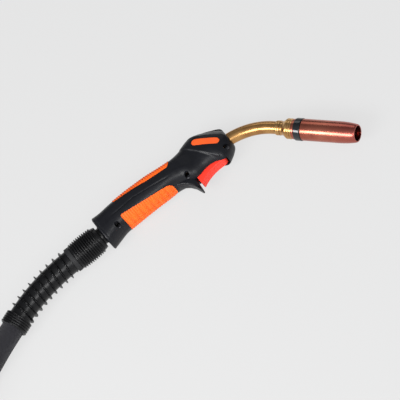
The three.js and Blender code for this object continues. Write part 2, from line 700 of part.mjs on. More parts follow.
function endRing() {
  const inside = CABLE_R + 2 * GAP;
  const pitch = END_RING_LENGTH / END_RING_RIBS;
  const profile = [[0, RELIEF_BORE_R]];
  for (let k = 0; k < END_RING_RIBS; k += 1) {
    profile.push([(k + 0.02) * pitch, END_RING_R - 1], [(k + 0.25) * pitch, END_RING_R]);
    profile.push([(k + 0.75) * pitch, END_RING_R], [(k + 0.98) * pitch, END_RING_R - 1]);
  }
  profile.push([END_RING_LENGTH, inside], [3, inside], [3, RELIEF_BORE_R]);
  return moved(turned(profile), reliefLine.frameAt(ringStart));
}

function innerCable() {
  const line = new BentLine({
    start: new THREE.Vector3(BALL_X - 1.5, 0, 0),
    heading: Math.PI,
    lead: BALL_X - 1.5 - reliefLine.start.x,
    radius: RELIEF_BEND_R,
    turn: RELIEF_TURN,
    tail: 2.6,
  });
  return swept(line, INNER_CABLE_R, HANDLE_CABLE_STEPS, INNER_BORE_R);
}

// Route of the sheathed cable from inside the end ring to the coil, from the row's origin.
const CABLE_ROUTE = [
  [-245.1, -18.1, 19], [-255.3, -22.1, 19], [-278.4, -31.4, 18.6], [-301.5, -41, 16.9],
  [-324.5, -50.8, 14.9], [-347.5, -60.5, 14], [-370.4, -70.3, 14], [-393.4, -80.1, 14],
  [-418, -85.6, 14],
];
// Its last stretch, from the coil's top turn up into the plug's strain relief.
const CABLE_END_ROUTE = [
  [-550, 164, 38], [-526, 181, 38], [-499, 192, 41], [-471, 195, 47], [-442, 192, 55],
  [-415, 181, 63], [-392, 164, 71], [-373, 141, 78], [-361, 115, 81.8], [-356, 86, 81.8],
  [-358, 58, 81.8], [-360.5, 45.3, 81.8], PLUG_START,
];

/** The outer shape of the wound cable, as a ring about +Z, or the space it needs when grown. */
function coilForm(grow) {
  const r = COIL_OUTER_R + grow;
  const q = COIL_INNER_R - grow;
  const top = COIL_HEIGHT + grow;
  const section = [
    [q + 4, -grow], [r - 4, -grow], [r, 8], [r, 20], [r - 12, top - 6], [r - 18, top],
    [q + 18, top], [q + 12, top - 6], [q, 20], [q, 8], [q + 4, -grow],
  ];
  const profile = section.map(([x, z]) => new THREE.Vector2(x, z));
  const geometry = new THREE.LatheGeometry(profile, COIL_FACETS);
  geometry.rotateX(Math.PI / 2);
  geometry.translate(...COIL_CENTRE, 0);
  return solid(geometry);
}

const COIL_FACETS = 40;
const TIE_ANGLE = THREE.MathUtils.degToRad(205);
const TIE_WIDTH = 20;
const TIE_THICK = 1.6;

function tieBand(grow) {
  const [inner, outer] = [COIL_INNER_R - TIE_THICK - grow, COIL_OUTER_R + TIE_THICK + grow];
  const side = TIE_WIDTH / 2 + grow;
  const place = new THREE.Matrix4().makeRotationZ(TIE_ANGLE).setPosition(...COIL_CENTRE, 0);
  const band = block([inner, -side, 0], [outer, side, COIL_HEIGHT + TIE_THICK]);
  const under = block([0, -side, -1], [outer + 9, side, TIE_THICK + GAP]);
  return { band: moved(band, place), under: moved(under, place) };
}

function cablePieces() {
  const curve = (points) => new THREE.CatmullRomCurve3(points.map((p) => new THREE.Vector3(...p)));
  const space = coilForm(GAP);
  const lead = swept(curve(CABLE_ROUTE), CABLE_R, 12, 0, CABLE_SIDES).subtract(space);
  const tail = swept(curve(CABLE_END_ROUTE), CABLE_R, 18, 0, CABLE_SIDES).subtract(space);
  return {
    cable_sheath: lead,
    cable_coil: coilForm(0).subtract(tieBand(GAP).under),
    coil_tie: tieBand(0).band.subtract(space.subtract(tieBand(GAP).under)),
    cable_tail: tail,
  };
}

// ---------------------------------------------------------------- machine plug, along its own +X
const HOUSING_START = 20;
const HOUSING_END = 74;
const PLUG_FACE = 112;
const PLUG_BODY_R = 17.8;
const PLUG_FLANGE_R = 20.5;
const NUT_START = HOUSING_END + 2;
const NUT_END = 104;
const NUT_STEP = 92;
const NIPPLE_R = 5;
const PLUG_PIN_R = 1.6;
const PLUG_PIN_OFFSET = 11.5;
const PIN_DEPTH = 8.7; // how far a pin sits in the body
const NIPPLE_DEPTH = 12;

function plugPieces() {
  const cableSpace = CABLE_R + 2 * GAP;
  const pinSpace = (side) => {
    const hole = bar(PLUG_FACE - PIN_DEPTH - GAP, PLUG_FACE + 2, PLUG_PIN_R + GAP);
    return moved(hole, new THREE.Matrix4().makeTranslation(0, 0, side * PLUG_PIN_OFFSET));
  };
  const pin = (side) => {
    const rod = bar(PLUG_FACE - PIN_DEPTH, PLUG_FACE + 7, PLUG_PIN_R);
    return moved(rod, new THREE.Matrix4().makeTranslation(0, 0, side * PLUG_PIN_OFFSET));
  };
  const flange = NUT_STEP + GAP;
  const body = turned([
    [HOUSING_END + GAP, 3], [HOUSING_END + GAP, PLUG_BODY_R], [flange, PLUG_BODY_R],
    [flange, PLUG_FLANGE_R], [flange + 4, PLUG_FLANGE_R], [flange + 4, PLUG_BODY_R],
    [PLUG_FACE, PLUG_BODY_R], [PLUG_FACE, NIPPLE_R + GAP], [PLUG_FACE - NIPPLE_DEPTH, NIPPLE_R + GAP],
    [PLUG_FACE - NIPPLE_DEPTH, 3],
  ]);
  const [onBody, onFlange] = [PLUG_BODY_R + RUNNING_GAP, PLUG_FLANGE_R + RUNNING_GAP];
  const nut = turned([
    [NUT_START, onBody], [NUT_START, PLUG_NUT_R - 1.5], [NUT_START + 1.5, PLUG_NUT_R],
    [NUT_END - 1.5, PLUG_NUT_R], [NUT_END, PLUG_NUT_R - 1.5], [NUT_END, onFlange],
    [NUT_STEP, onFlange], [NUT_STEP, onBody],
  ]);
  return {
    plug_strain_relief: turned([
      [-22, cableSpace], [-22, 16], [-4, 18.5], [12, 20], [HOUSING_START, 20], [HOUSING_START, 4],
      [GAP, 4], [GAP, cableSpace],
    ]),
    plug_housing: turned([
      [HOUSING_START + GAP, 4], [HOUSING_START + GAP, 20], [HOUSING_START + 6, 22.5],
      [HOUSING_END - 12, 22.5], [HOUSING_END - 8, 23.5], [HOUSING_END, 23.5], [HOUSING_END, 4],
    ]),
    plug_body: cut(body, [pinSpace(1), pinSpace(-1)]),
    plug_nut: nut,
    gas_nipple: ring(PLUG_FACE - NIPPLE_DEPTH + GAP, PLUG_FACE + 16, 1.6, NIPPLE_R, SMALL_ROUND),
    plug_pin_upper: pin(1),
    plug_pin_lower: pin(-1),
  };
}

// ---------------------------------------------------------------- the assembly
/** The nodes of each colour. */
const FINISHES = [
  [PLASTIC, ['handle_shell_right', 'handle_shell_left', 'microswitch_body', 'neck_clamp_block']],
  [PLASTIC, ['plug_housing', 'plug_nut']],
  [ORANGE, ['grip_pad_lower_right', 'grip_pad_lower_left', 'grip_pad_back_right']],
  [ORANGE, ['grip_pad_back_left', 'label_plate_right', 'label_plate_left', 'switch_plunger']],
  [RED, ['trigger']],
  [STEEL, ['handle_screw_front', 'handle_screw_middle', 'handle_screw_rear']],
  [STEEL, ['trigger_pivot_pin', 'neck_liner']],
  [LEAD, ['trigger_lead_right', 'trigger_lead_left']],
  [BRASS, ['swan_neck_tube', 'neck_nut', 'cable_terminal', 'neck_collar', 'neck_head']],
  [BRASS, ['tip_holder', 'plug_body', 'gas_nipple', 'plug_pin_upper', 'plug_pin_lower']],
  [COPPER, ['nozzle_seat_ring', 'contact_tip', 'gas_nozzle']],
  [CERAMIC, ['gas_diffuser']],
  [RUBBER, ['handle_cable', 'nozzle_insulator', 'knuckle_stub', 'knuckle_barrel', 'knuckle_band']],
  [RUBBER, ['bend_relief', 'cable_end_ring', 'inner_cable', 'plug_strain_relief']],
  [SHEATH, ['cable_sheath', 'cable_coil', 'coil_tie', 'cable_tail']],
];

function meshesIn(group, pieces) {
  Object.entries(pieces).forEach(([name, body]) => {
    const [finish] = FINISHES.find(([, names]) => names.includes(name));
    const mesh = new THREE.Mesh(geometryOf(body), new THREE.MeshStandardMaterial(finish));
    mesh.name = name;
    group.add(mesh);
  });
}

const model = new THREE.Group();

const torch = new THREE.Group();
torch.position.set(-REST_X, 0, SIDE_FLAT);
model.add(torch);
meshesIn(torch, handleShells());
meshesIn(torch, inlays());
meshesIn(torch, {
  handle_screw_front: handleScrew(...FRONT_SCREW),
  handle_screw_middle: handleScrew(...MIDDLE_SCREW),
  handle_screw_rear: handleScrew(...REAR_SCREW),
  trigger: trigger(),
  trigger_pivot_pin: pinAt(
    TRIGGER_PIVOT.x, TRIGGER_PIVOT.y, -PIVOT_PIN_LENGTH / 2, PIVOT_PIN_LENGTH / 2, PIVOT_PIN_R,
  ),
});
meshesIn(torch, switchPieces());
meshesIn(torch, neckInside());
meshesIn(torch, {
  knuckle_stub: knuckleStub(),
  knuckle_barrel: ribbedBarrel(),
  knuckle_band: ring(BAND_REAR, BAND_REAR + BAND_LENGTH, SLEEVE_R + GAP, BAND_R),
  bend_relief: bendRelief(),
  cable_end_ring: endRing(),
  inner_cable: innerCable(),
});

const nozzleLine = new THREE.Group();
nozzleLine.applyMatrix4(neckEnd);
torch.add(nozzleLine);
meshesIn(nozzleLine, nozzleLinePieces());

meshesIn(model, cablePieces());

const plug = new THREE.Group();
plug.position.set(...PLUG_START);
plug.rotation.z = PLUG_HEADING;
model.add(plug);
meshesIn(plug, plugPieces());

export default model;
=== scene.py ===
"""Looks of the MIG welding torch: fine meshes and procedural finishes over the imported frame."""

import math

import bmesh
import bpy
from mathutils import Matrix, Vector


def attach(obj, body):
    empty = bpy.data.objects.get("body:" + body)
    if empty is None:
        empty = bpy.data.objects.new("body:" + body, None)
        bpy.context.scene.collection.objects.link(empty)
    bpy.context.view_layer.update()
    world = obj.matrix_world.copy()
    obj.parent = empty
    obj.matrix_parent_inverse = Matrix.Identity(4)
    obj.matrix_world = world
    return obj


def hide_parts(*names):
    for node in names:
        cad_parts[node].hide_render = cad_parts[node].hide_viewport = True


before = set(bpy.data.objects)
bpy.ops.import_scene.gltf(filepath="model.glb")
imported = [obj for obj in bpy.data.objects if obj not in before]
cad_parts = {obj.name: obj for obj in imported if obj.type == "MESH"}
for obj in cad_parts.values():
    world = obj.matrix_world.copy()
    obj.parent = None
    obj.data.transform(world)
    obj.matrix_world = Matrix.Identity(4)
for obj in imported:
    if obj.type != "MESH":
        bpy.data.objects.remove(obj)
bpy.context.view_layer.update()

MM = 0.001
WELD = 1e-4  # points nearer than this, in the mesh's own unit, are one
WELD_IN_METRES = 1e-7
ON_AXIS = 1e-6  # a radius under this is none

# ---------------------------------------------------------------- driving dimensions, in millimetres
GAP = 0.3
REST_X = 100.0  # the row's origin, measured from the handle's rear plane
SIDE_FLAT = 19.0
HANDLE_LENGTH = 190.0
HANDLE_WALL = 3.2
SECTION_POWER = 2.4
PAD_DEPTH = 1.5
PAD_PROUD = 0.6
PAD_RIB_PITCH = 3.1
PAD_LOBE_PITCH = 7.4
PAD_CORNER = 3.0
SPUR_HALF_WIDTH = 6.5
BEYOND = 60.0  # past the handle on every side
LABEL_CENTRE = (165.5, -2.0)
LABEL_SIZE = (35.0, 8.6)
LABEL_ANGLE = math.radians(-39)
LABEL_DEPTH = 1.4
LABEL_SINK = 0.2
SCREWS = {"front": (181.0, -23.0), "middle": (123.6, -20.0), "rear": (21.5, -11.5)}
SCREW_HEAD_R = 3.0
SCREW_HEAD_Z = 7.0
SCREW_TOP_Z = 9.6
SCREW_SHANK_R = 1.5
SCREW_SOCKET_Z = 8.0
SCREW_SOCKET_R = 1.3
SLOT = (129.4, 173.6, 7.0, -17.0)  # the trigger's slot: rear, front, half width, top
TRIGGER_PIVOT = (168.5, -26.5)
TRIGGER_HALF_WIDTH = 6.5
TRIGGER_PIN_R = 1.85
TRIGGER_PIN_HALF = 12.5
TRIGGER_CHANNEL_HALF = 4.7
TUBE_R = 7.75
TUBE_BORE_R = 5.0
DIFFUSER_HOLES = 6
DIFFUSER_HOLE_X = 46.0
DIFFUSER_HOLE_R = 1.1
BALL_X = 8.0
BALL_R = 15.5
BALL_SEAT_GAP = 0.6
BARREL_FRONT = -9.0
BARREL_LENGTH = 34.0
BARREL_RIBS = 11
BAND_LENGTH = 12.0
RELIEF_LEAD = 6.0  # the relief sleeve is straight this far, over the rear of the band
RELIEF_R = 14.2
RELIEF_RING_R = 17.7
RELIEF_RINGS = 9.6
RELIEF_RING_START = 5.2
FLANGE_HALF = 1.0
END_RING_RIBS = 5
END_RING_LENGTH = 15.0
CABLE_R = 14.0
WEAVE_REPEAT = 88.0  # the length of sheath that the weave's map calls one
COIL_CENTRE = (-454.0, 62.0)
COIL_START_ANGLE = -66.9
COIL_TURNED = 880
TIE_ANGLE = 205.0
TIE_THICK = 1.6
TIE_WIDTH = 20.0
PLUG_START = (-363.1, 32.5, 81.8)
PLUG_HEADING = math.radians(-101.3)
PLUG_PIN_SPACING = 11.5

# x, crest height, belly height and half width along the handle
STATIONS = [
    (0, 24.2, -23, 19.4), (12, 22.8, -18.8, 19.4), (26, 23.5, -15.1, 19.4), (50, 23.7, -14.6, 19.4),
    (74, 22.2, -15, 19.4), (84, 21.2, -15.6, 19.4), (103, 17.9, -16.4, 19.4), (118, 16.6, -21, 19.4),
    (130, 18.6, -28.6, 19.4), (148, 24, -26.6, 19.4), (160, 25.4, -28.6, 19.4), (170, 22.4, -34, 18.5),
    (180, 16.9, -29.4, 16.6), (186, 13.2, -24.6, 14.6), (190, 9.8, -20.4, 12.4),
]

# The sheathed cable's route, from inside the end ring to the coil, and from the coil to the plug.
CABLE_ROUTE = [
    (-245.1, -18.1, 19), (-255.3, -22.1, 19), (-278.4, -31.4, 18.6), (-301.5, -41, 16.9),
    (-324.5, -50.8, 14.9), (-347.5, -60.5, 14), (-370.4, -70.3, 14), (-393.4, -80.1, 14),
]
CABLE_END_ROUTE = [
    (-550, 164, 38), (-526, 181, 38), (-499, 192, 41), (-471, 195, 47), (-442, 192, 55),
    (-415, 181, 63), (-392, 164, 71), (-373, 141, 78), (-361, 115, 81.8), (-356, 86, 81.8),
    (-358, 58, 81.8), (-360.5, 45.3, 81.8), PLUG_START,
]


# ---------------------------------------------------------------- small maths
def ease(low, high, value):
    t = min(max((value - low) / (high - low), 0.0), 1.0)
    return t * t * (3 - 2 * t)


def power(value, exponent):
    return math.copysign(abs(value) ** exponent, value)


def spline(points, step):
    """Points about step apart on a Catmull-Rom curve through the points."""
    points = [Vector(p) for p in points]
    ends = [2 * points[0] - points[1], *points, 2 * points[-1] - points[-2]]
    result = [points[0]]
    for a, b, c, d in zip(ends, ends[1:], ends[2:], ends[3:]):
        count = max(1, round((c - b).length / step))
        for k in range(1, count + 1):
            t = k / count
            result.append(0.5 * (
                2 * b + (c - a) * t + (2 * a - 5 * b + 4 * c - d) * t * t
                + (3 * b - a - 3 * c + d) * t ** 3
            ))
    return result


class BentLine:
    """A line in the handle's side plane: a straight lead, one circular bend and a straight tail."""

    def __init__(self, start, heading, lead, radius, turn, tail):
        self.start, self.heading, self.lead = Vector(start), heading, lead
        self.curvature = math.copysign(1 / radius, turn)
        self.arc = radius * abs(turn)
        self.total = lead + self.arc + tail

    def frame_at(self, distance):
        bend = min(max(distance - self.lead, 0), self.arc)
        angle = self.heading + self.curvature * bend
        before = min(distance, self.lead)
        after = max(distance - self.lead - self.arc, 0)
        x = math.cos(self.heading) * before + math.cos(angle) * after
        y = math.sin(self.heading) * before + math.sin(angle) * after
        x += (math.sin(angle) - math.sin(self.heading)) / self.curvature
        y += (math.cos(self.heading) - math.cos(angle)) / self.curvature
        return Matrix.Translation(self.start + Vector((x, y, 0))) @ Matrix.Rotation(angle, 4, "Z")


NECK = BentLine((134.07, -3.32, 0), math.radians(-6), 50.0, 84.0, math.radians(-44), 10.3)
NECK_LENGTH = NECK.total
BAND_REAR = BARREL_FRONT - BARREL_LENGTH - GAP - BAND_LENGTH
RELIEF = BentLine(
    (BAND_REAR - GAP + RELIEF_LEAD, 0, 0), math.pi, RELIEF_LEAD, 230.0, math.radians(21.5), 20.0,
)
RELIEF_LENGTH = RELIEF.lead + RELIEF.arc

TORCH = Matrix.Translation((-REST_X * MM, 0, SIDE_FLAT * MM)) @ Matrix.Scale(MM, 4)
NOZZLE_LINE = TORCH @ NECK.frame_at(NECK_LENGTH)
PLUG = Matrix.Translation(Vector(PLUG_START) * MM) @ Matrix.Rotation(PLUG_HEADING, 4, "Z")
PLUG = PLUG @ Matrix.Scale(MM, 4)
ROW = Matrix.Scale(MM, 4)


# ---------------------------------------------------------------- meshes
def mesh_object(name, verts, faces, matrix=None):
    mesh = bpy.data.meshes.new(name)
    mesh.from_pydata([tuple(matrix @ Vector(v)) if matrix else tuple(v) for v in verts], [], faces)
    work = bmesh.new()
    work.from_mesh(mesh)
    bmesh.ops.remove_doubles(work, verts=work.verts, dist=WELD_IN_METRES if matrix else WELD)
    bmesh.ops.recalc_face_normals(work, faces=work.faces)
    work.to_mesh(mesh)
    work.free()
    obj = bpy.data.objects.new(name, mesh)
    bpy.context.scene.collection.objects.link(obj)
    return obj


def shade(obj, angle=35):
    mesh = obj.data
    mesh.polygons.foreach_set("use_smooth", [True] * len(mesh.polygons))
    mesh.set_sharp_from_angle(angle=math.radians(angle))


def rounded(profile, radius, closed=True, steps=3):
    """The outline with each corner replaced by a small round."""
    points = [Vector(p) for p in profile]
    result = []
    for i, here in enumerate(points):
        if not closed and i in (0, len(points) - 1):
            result.append(here)
            continue
        before, after = points[i - 1] - here, points[(i + 1) % len(points)] - here
        reach = min(radius, 0.45 * before.length, 0.45 * after.length)
        if reach < 1e-3 or before.angle(after) > 3.0:
            result.append(here)
            continue
        a, b = here + before.normalized() * reach, here + after.normalized() * reach
        for k in range(steps + 1):
            t = k / steps
            result.append(a * (1 - t) ** 2 + here * 2 * t * (1 - t) + b * t * t)
    return result


def ends_on_axis(profile):
    return profile[0][1] < ON_AXIS and profile[-1][1] < ON_AXIS


def lathe(profile, sides=72, bend=None, radius_at=None):
    """A body turned about X from a closed profile of (x, radius), carried onto a line if one is given."""
    verts, faces, rows = [], [], []
    for x, r in profile:
        count = 1 if r < ON_AXIS else sides
        row = []
        for k in range(count):
            a = 2 * math.pi * k / sides
            reach = radius_at(x, r, a) if radius_at else r
            point = Vector((0, reach * math.cos(a), reach * math.sin(a)))
            point = bend.frame_at(x) @ point if bend else point + Vector((x, 0, 0))
            row.append(len(verts))
            verts.append(point)
        rows.append(row)
    pairs = list(zip(rows, rows[1:])) + ([] if ends_on_axis(profile) else [(rows[-1], rows[0])])
    for one, two in pairs:
        for k in range(sides):
            quad = [one[k % len(one)], one[(k + 1) % len(one)], two[(k + 1) % len(two)], two[k % len(two)]]
            quad = list(dict.fromkeys(quad))
            if len(quad) > 2:
                faces.append(quad)
    return verts, faces


def fine(profile, step):
    """The profile with extra points, so that a bend is smooth along it."""
    points = [Vector(p) for p in profile]
    result = []
    for a, b in zip(points, points[1:] + points[:1]):
        count = max(1, math.ceil((b - a).length / step))
        result += [a.lerp(b, k / count) for k in range(count)]
    return result


def prism(outline, low, high):
    count = len(outline)
    verts = [(x, y, z) for z in (low, high) for x, y in outline]
    faces = [[k, (k + 1) % count, count + (k + 1) % count, count + k] for k in range(count)]
    return verts, faces + [list(range(count)), list(range(count, 2 * count))]


def inset(outline, by):
    """The outline moved in by a distance."""
    points = [Vector(p) for p in outline]
    area = sum(a.x * b.y - b.x * a.y for a, b in zip(points, points[1:] + points[:1]))
    turn = math.copysign(1, area)
    result = []
    for i, here in enumerate(points):
        before, after = here - points[i - 1], points[(i + 1) % len(points)] - here
        normals = [Vector((-v.y, v.x)).normalized() * turn for v in (before, after)]
        middle = (normals[0] + normals[1]).normalized()
        result.append(here + middle * by / max(middle.dot(normals[0]), 0.5))
    return result


def soft_plate(outline, half, bevel, steps=4):
    """A plate about the parting plane whose edges are rounded."""
    layers = []
    for k in range(steps + 1):
        a = math.pi / 2 * k / steps
        layers.append((half - bevel * (1 - math.sin(a)), bevel * (1 - math.cos(a))))
    rows = [(-z, i) for z, i in reversed(layers)] + layers
    count = len(outline)
    verts = [(p.x, p.y, z) for z, by in rows for p in inset(outline, by)]
    faces = []
    for row in range(len(rows) - 1):
        for k in range(count):
            a, b = row * count + k, row * count + (k + 1) % count
            faces.append([a, b, b + count, a + count])
    last = (len(rows) - 1) * count
    return verts, faces + [list(range(count)), list(range(last, last + count))]


def rod(x, y, low, high, r, sides=40):
    outline = [
        (x + r * math.cos(2 * math.pi * k / sides), y + r * math.sin(2 * math.pi * k / sides))
        for k in range(sides)
    ]
    return prism(outline, low, high)


def box(low, high):
    (a, b, c), (d, e, f) = low, high
    return prism([(a, b), (d, b), (d, e), (a, e)], c, f)


def combined(obj, shape, operation):
    """Applies one boolean with a closed shape, and keeps the result in obj."""
    tool = mesh_object("tool", *shape)
    step = obj.modifiers.new("step", "BOOLEAN")
    step.operation, step.solver, step.object = operation, "MANIFOLD", tool
    view = bpy.context.evaluated_depsgraph_get()
    result = bpy.data.meshes.new_from_object(obj.evaluated_get(view))
    obj.modifiers.clear()
    obj.data = result
    bpy.data.objects.remove(tool)
    return obj


def cut(obj, *shapes):
    for shape in shapes:
        combined(obj, shape, "DIFFERENCE")
    return obj


def as_shape(obj):
    """The object's points and faces, as a shape for a boolean; the object itself goes."""
    shape = ([v.co.copy() for v in obj.data.vertices], [list(p.vertices) for p in obj.data.polygons])
    bpy.data.objects.remove(obj)
    return shape


def placed(obj, matrix):
    obj.data.transform(matrix)
    return obj


def finished(obj, body, material, replaces=(), angle=35):
    shade(obj, angle)
    obj.data.materials.clear()
    obj.data.materials.append(material)
    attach(obj, body)
    if replaces:
        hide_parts(*replaces)
    return obj


def turned(node, profile, matrix, body, material, slot, corner=0.4, **shape):
    """A turned piece that stands for the CAD node of the same name."""
    outline = rounded(profile, corner, not ends_on_axis(profile))
    if "bend" in shape:
        outline = fine(outline, 2.0)
    obj = mesh_object(f"{node}_fine", *lathe(outline, **shape), matrix)
    return finished(obj, body, material, [node])


# ---------------------------------------------------------------- camera
VIEW_TILT = math.radians(36)
VIEW_ROLL = math.radians(39.5)
VIEW_CENTRE = Vector((16.2, -33.6, -5.4)) * MM
VIEW_WIDTH = 0.48
VIEW_DISTANCE = 6.0
SENSOR = 36
to_camera = Vector((0, -math.sin(VIEW_TILT), math.cos(VIEW_TILT)))
across = Vector((0, math.cos(VIEW_TILT), math.sin(VIEW_TILT)))
along = Vector((1, 0, 0))
view_right = along * math.cos(VIEW_ROLL) - across * math.sin(VIEW_ROLL)
view_up = along * math.sin(VIEW_ROLL) + across * math.cos(VIEW_ROLL)


def make_camera():
    data = bpy.data.cameras.new("camera")
    data.lens = SENSOR * VIEW_DISTANCE / VIEW_WIDTH
    data.sensor_width = SENSOR
    data.clip_end = 4 * VIEW_DISTANCE
    camera = bpy.data.objects.new("camera", data)
    axes = Matrix((view_right, view_up, to_camera)).transposed().to_4x4()
    camera.matrix_world = Matrix.Translation(VIEW_CENTRE + to_camera * VIEW_DISTANCE) @ axes
    bpy.context.scene.collection.objects.link(camera)
    bpy.context.scene.camera = camera


make_camera()


# ---------------------------------------------------------------- materials
GRAIN_HEIGHT = 0.0002
TOOL_MARK_HEIGHT = 0.00006
YARN_HEIGHT = 0.0004


def add(tree, kind, inputs=None, **settings):
    node = tree.nodes.new(kind)
    for key, value in settings.items():
        setattr(node, key, value)
    for key, value in (inputs or {}).items():
        if isinstance(value, bpy.types.NodeSocket):
            tree.links.new(value, node.inputs[key])
        else:
            node.inputs[key].default_value = value
    return node


def noise(tree, scale, detail=4, coordinate=None, roughness=0.55):
    inputs = {"Scale": scale, "Detail": detail, "Roughness": roughness}
    if coordinate is None:
        coordinate = add(tree, "ShaderNodeTexCoord").outputs["Object"]
    return add(tree, "ShaderNodeTexNoise", {**inputs, "Vector": coordinate}).outputs["Fac"]


def spread(tree, value, low, high, start=0.3, end=0.7):
    inputs = {"Value": value, "From Min": start, "From Max": end, "To Min": low, "To Max": high}
    return add(tree, "ShaderNodeMapRange", inputs).outputs["Result"]


def blended(tree, share, one, two):
    node = add(tree, "ShaderNodeMix", data_type="RGBA")
    for socket, value in ((node.inputs[0], share), (node.inputs[6], one), (node.inputs[7], two)):
        if isinstance(value, bpy.types.NodeSocket):
            tree.links.new(value, socket)
        elif isinstance(value, tuple):
            socket.default_value = (*value, 1)
        else:
            socket.default_value = value
    return node.outputs[2]


def bumped(tree, height, strength, distance):
    inputs = {"Height": height, "Strength": strength, "Distance": distance}
    return add(tree, "ShaderNodeBump", inputs).outputs["Normal"]


def blank(name):
    material = bpy.data.materials.new(name)
    material.use_nodes = True
    return material, material.node_tree, material.node_tree.nodes["Principled BSDF"]


def moulded(name, colour, roughness, grain_scale=2600, grain=0.25, variation=0.12, metallic=0.0, gloss=0.5):
    """Moulded plastic, rubber or a cast surface: fine grain, faint handling marks and soft variation."""
    material, tree, shader = blank(name)
    dark = tuple(c * (1 - variation) for c in colour)
    light = tuple(min(c * (1 + variation), 1) for c in colour)
    patches = noise(tree, 38, 5)
    base = blended(tree, spread(tree, patches, 0, 1), dark, light)
    tree.links.new(base, shader.inputs["Base Color"])
    wear = noise(tree, 160, 6)
    result = spread(tree, wear, roughness - 0.06, roughness + 0.08)
    tree.links.new(result, shader.inputs["Roughness"])
    shader.inputs["Metallic"].default_value = metallic
    shader.inputs["Specular IOR Level"].default_value = gloss
    fine_grain = noise(tree, grain_scale, 3)
    tree.links.new(bumped(tree, fine_grain, grain, GRAIN_HEIGHT), shader.inputs["Normal"])
    return material


def machined(name, bright, dull, roughness, axis, tint=None, marks=0.35):
    """Metal turned about an axis: tool marks round it, dull stains, and heat tint towards one end."""
    material, tree, shader = blank(name)
    place = add(tree, "ShaderNodeTexCoord").outputs["Object"]
    along_axis = add(
        tree, "ShaderNodeVectorMath", {0: place, 1: tuple(axis)}, operation="DOT_PRODUCT",
    ).outputs["Value"]
    ring_noise = add(
        tree, "ShaderNodeTexNoise", {"W": along_axis, "Scale": 2400.0, "Detail": 2.0}, noise_dimensions="1D",
    ).outputs["Fac"]
    stains = noise(tree, 55, 6, place)
    colour = blended(tree, spread(tree, stains, 0, 1, 0.38, 0.72), bright, dull)
    if tint:
        hot, start, end = tint
        share = spread(tree, along_axis, 0, 1, start, end)
        colour = blended(tree, share, colour, hot)
    tree.links.new(colour, shader.inputs["Base Color"])
    shader.inputs["Metallic"].default_value = 1.0
    rough = spread(tree, noise(tree, 85, 4, place), roughness - 0.03, roughness + 0.06)
    tree.links.new(rough, shader.inputs["Roughness"])
    tree.links.new(bumped(tree, ring_noise, marks, TOOL_MARK_HEIGHT), shader.inputs["Normal"])
    return material


def woven(name, colour, across_count, along_pitch):
    """A braided textile: two sets of yarns that cross, in the mesh's own map of turn and length, with painted
    shade in the low gaps between the yarns.
    """
    material, tree, shader = blank(name)
    place = add(tree, "ShaderNodeUVMap", uv_map="weave").outputs["UV"]
    parts = add(tree, "ShaderNodeSeparateXYZ", {0: place})
    turns = add(tree, "ShaderNodeMath", {0: parts.outputs[0], 1: across_count}, operation="MULTIPLY")
    runs = add(tree, "ShaderNodeMath", {0: parts.outputs[1], 1: along_pitch}, operation="MULTIPLY")
    waves = []
    for operation in ("ADD", "SUBTRACT"):
        phase = add(tree, "ShaderNodeMath", {0: turns.outputs[0], 1: runs.outputs[0]}, operation=operation)
        angle = add(tree, "ShaderNodeMath", {0: phase.outputs[0], 1: math.tau}, operation="MULTIPLY")
        waves.append(add(tree, "ShaderNodeMath", {0: angle.outputs[0]}, operation="SINE").outputs[0])
    height = add(tree, "ShaderNodeMath", {0: waves[0], 1: waves[1]}, operation="MAXIMUM").outputs[0]
    fuzz = noise(tree, 900, 5)
    # painted shade and light: the colour is darker where the weave is low between the yarns and lighter on
    # the yarn tops
    dark, light = tuple(c * 0.55 for c in colour), tuple(c * 1.25 for c in colour)
    yarns = blended(tree, spread(tree, height, 0, 1, -0.4, 1.0), dark, light)
    dusty = tuple(c * 1.7 + 0.004 for c in colour)
    share = spread(tree, noise(tree, 22, 6), 0, 0.45, 0.45, 0.8)
    tree.links.new(blended(tree, share, yarns, dusty), shader.inputs["Base Color"])
    shader.inputs["Roughness"].default_value = 0.9
    shader.inputs["Sheen Weight"].default_value = 0.12
    shader.inputs["Specular IOR Level"].default_value = 0.2
    shader.inputs["Sheen Roughness"].default_value = 0.5
    mixed = add(tree, "ShaderNodeMath", {0: fuzz, 1: 0.5, 2: height}, operation="MULTIPLY_ADD")
    tree.links.new(bumped(tree, mixed.outputs[0], 0.7, YARN_HEIGHT), shader.inputs["Normal"])
    return material


nozzle_axis = (NOZZLE_LINE.to_3x3() @ Vector((1, 0, 0))).normalized()
nozzle_zero = nozzle_axis.dot(NOZZLE_LINE.translation)
plug_axis = (PLUG.to_3x3() @ Vector((1, 0, 0))).normalized()
handle_axis = Vector((1, 0, 0))

BLACK_PLASTIC = moulded("black_plastic", (0.0065, 0.007, 0.0095), 0.36, 2200, 0.15, gloss=0.26)
GRIP_ORANGE = moulded("grip_orange", (1.0, 0.13, 0.008), 0.58, 3000, 0.3, 0.06, gloss=0.3)
LABEL_ORANGE = moulded("label_orange", (1.0, 0.125, 0.02), 0.42, 3200, 0.1, 0.05, gloss=0.35)
TRIGGER_RED = moulded("trigger_red", (1.0, 0.045, 0.024), 0.42, 2600, 0.12, 0.06, gloss=0.35)
INNER_PLASTIC = moulded("inner_plastic", (0.012, 0.012, 0.015), 0.5, gloss=0.3)
LEAD_RED = moulded("lead_red", (0.42, 0.03, 0.02), 0.5, 1800, 0.15)
BLACK_RUBBER = moulded("black_rubber", (0.003, 0.003, 0.0036), 0.3, 1900, 0.1, 0.18, gloss=0.3)
SATIN_RUBBER = moulded("satin_rubber", (0.014, 0.014, 0.015), 0.6, 1900, 0.25, 0.18, gloss=0.3)
CABLE_RUBBER = moulded("cable_rubber", (0.009, 0.009, 0.01), 0.6, 1200, 0.3, gloss=0.3)
INSULATOR = moulded("insulator_black", (0.002, 0.003, 0.005), 0.12, 1500, 0.03, 0.2, gloss=0.7)
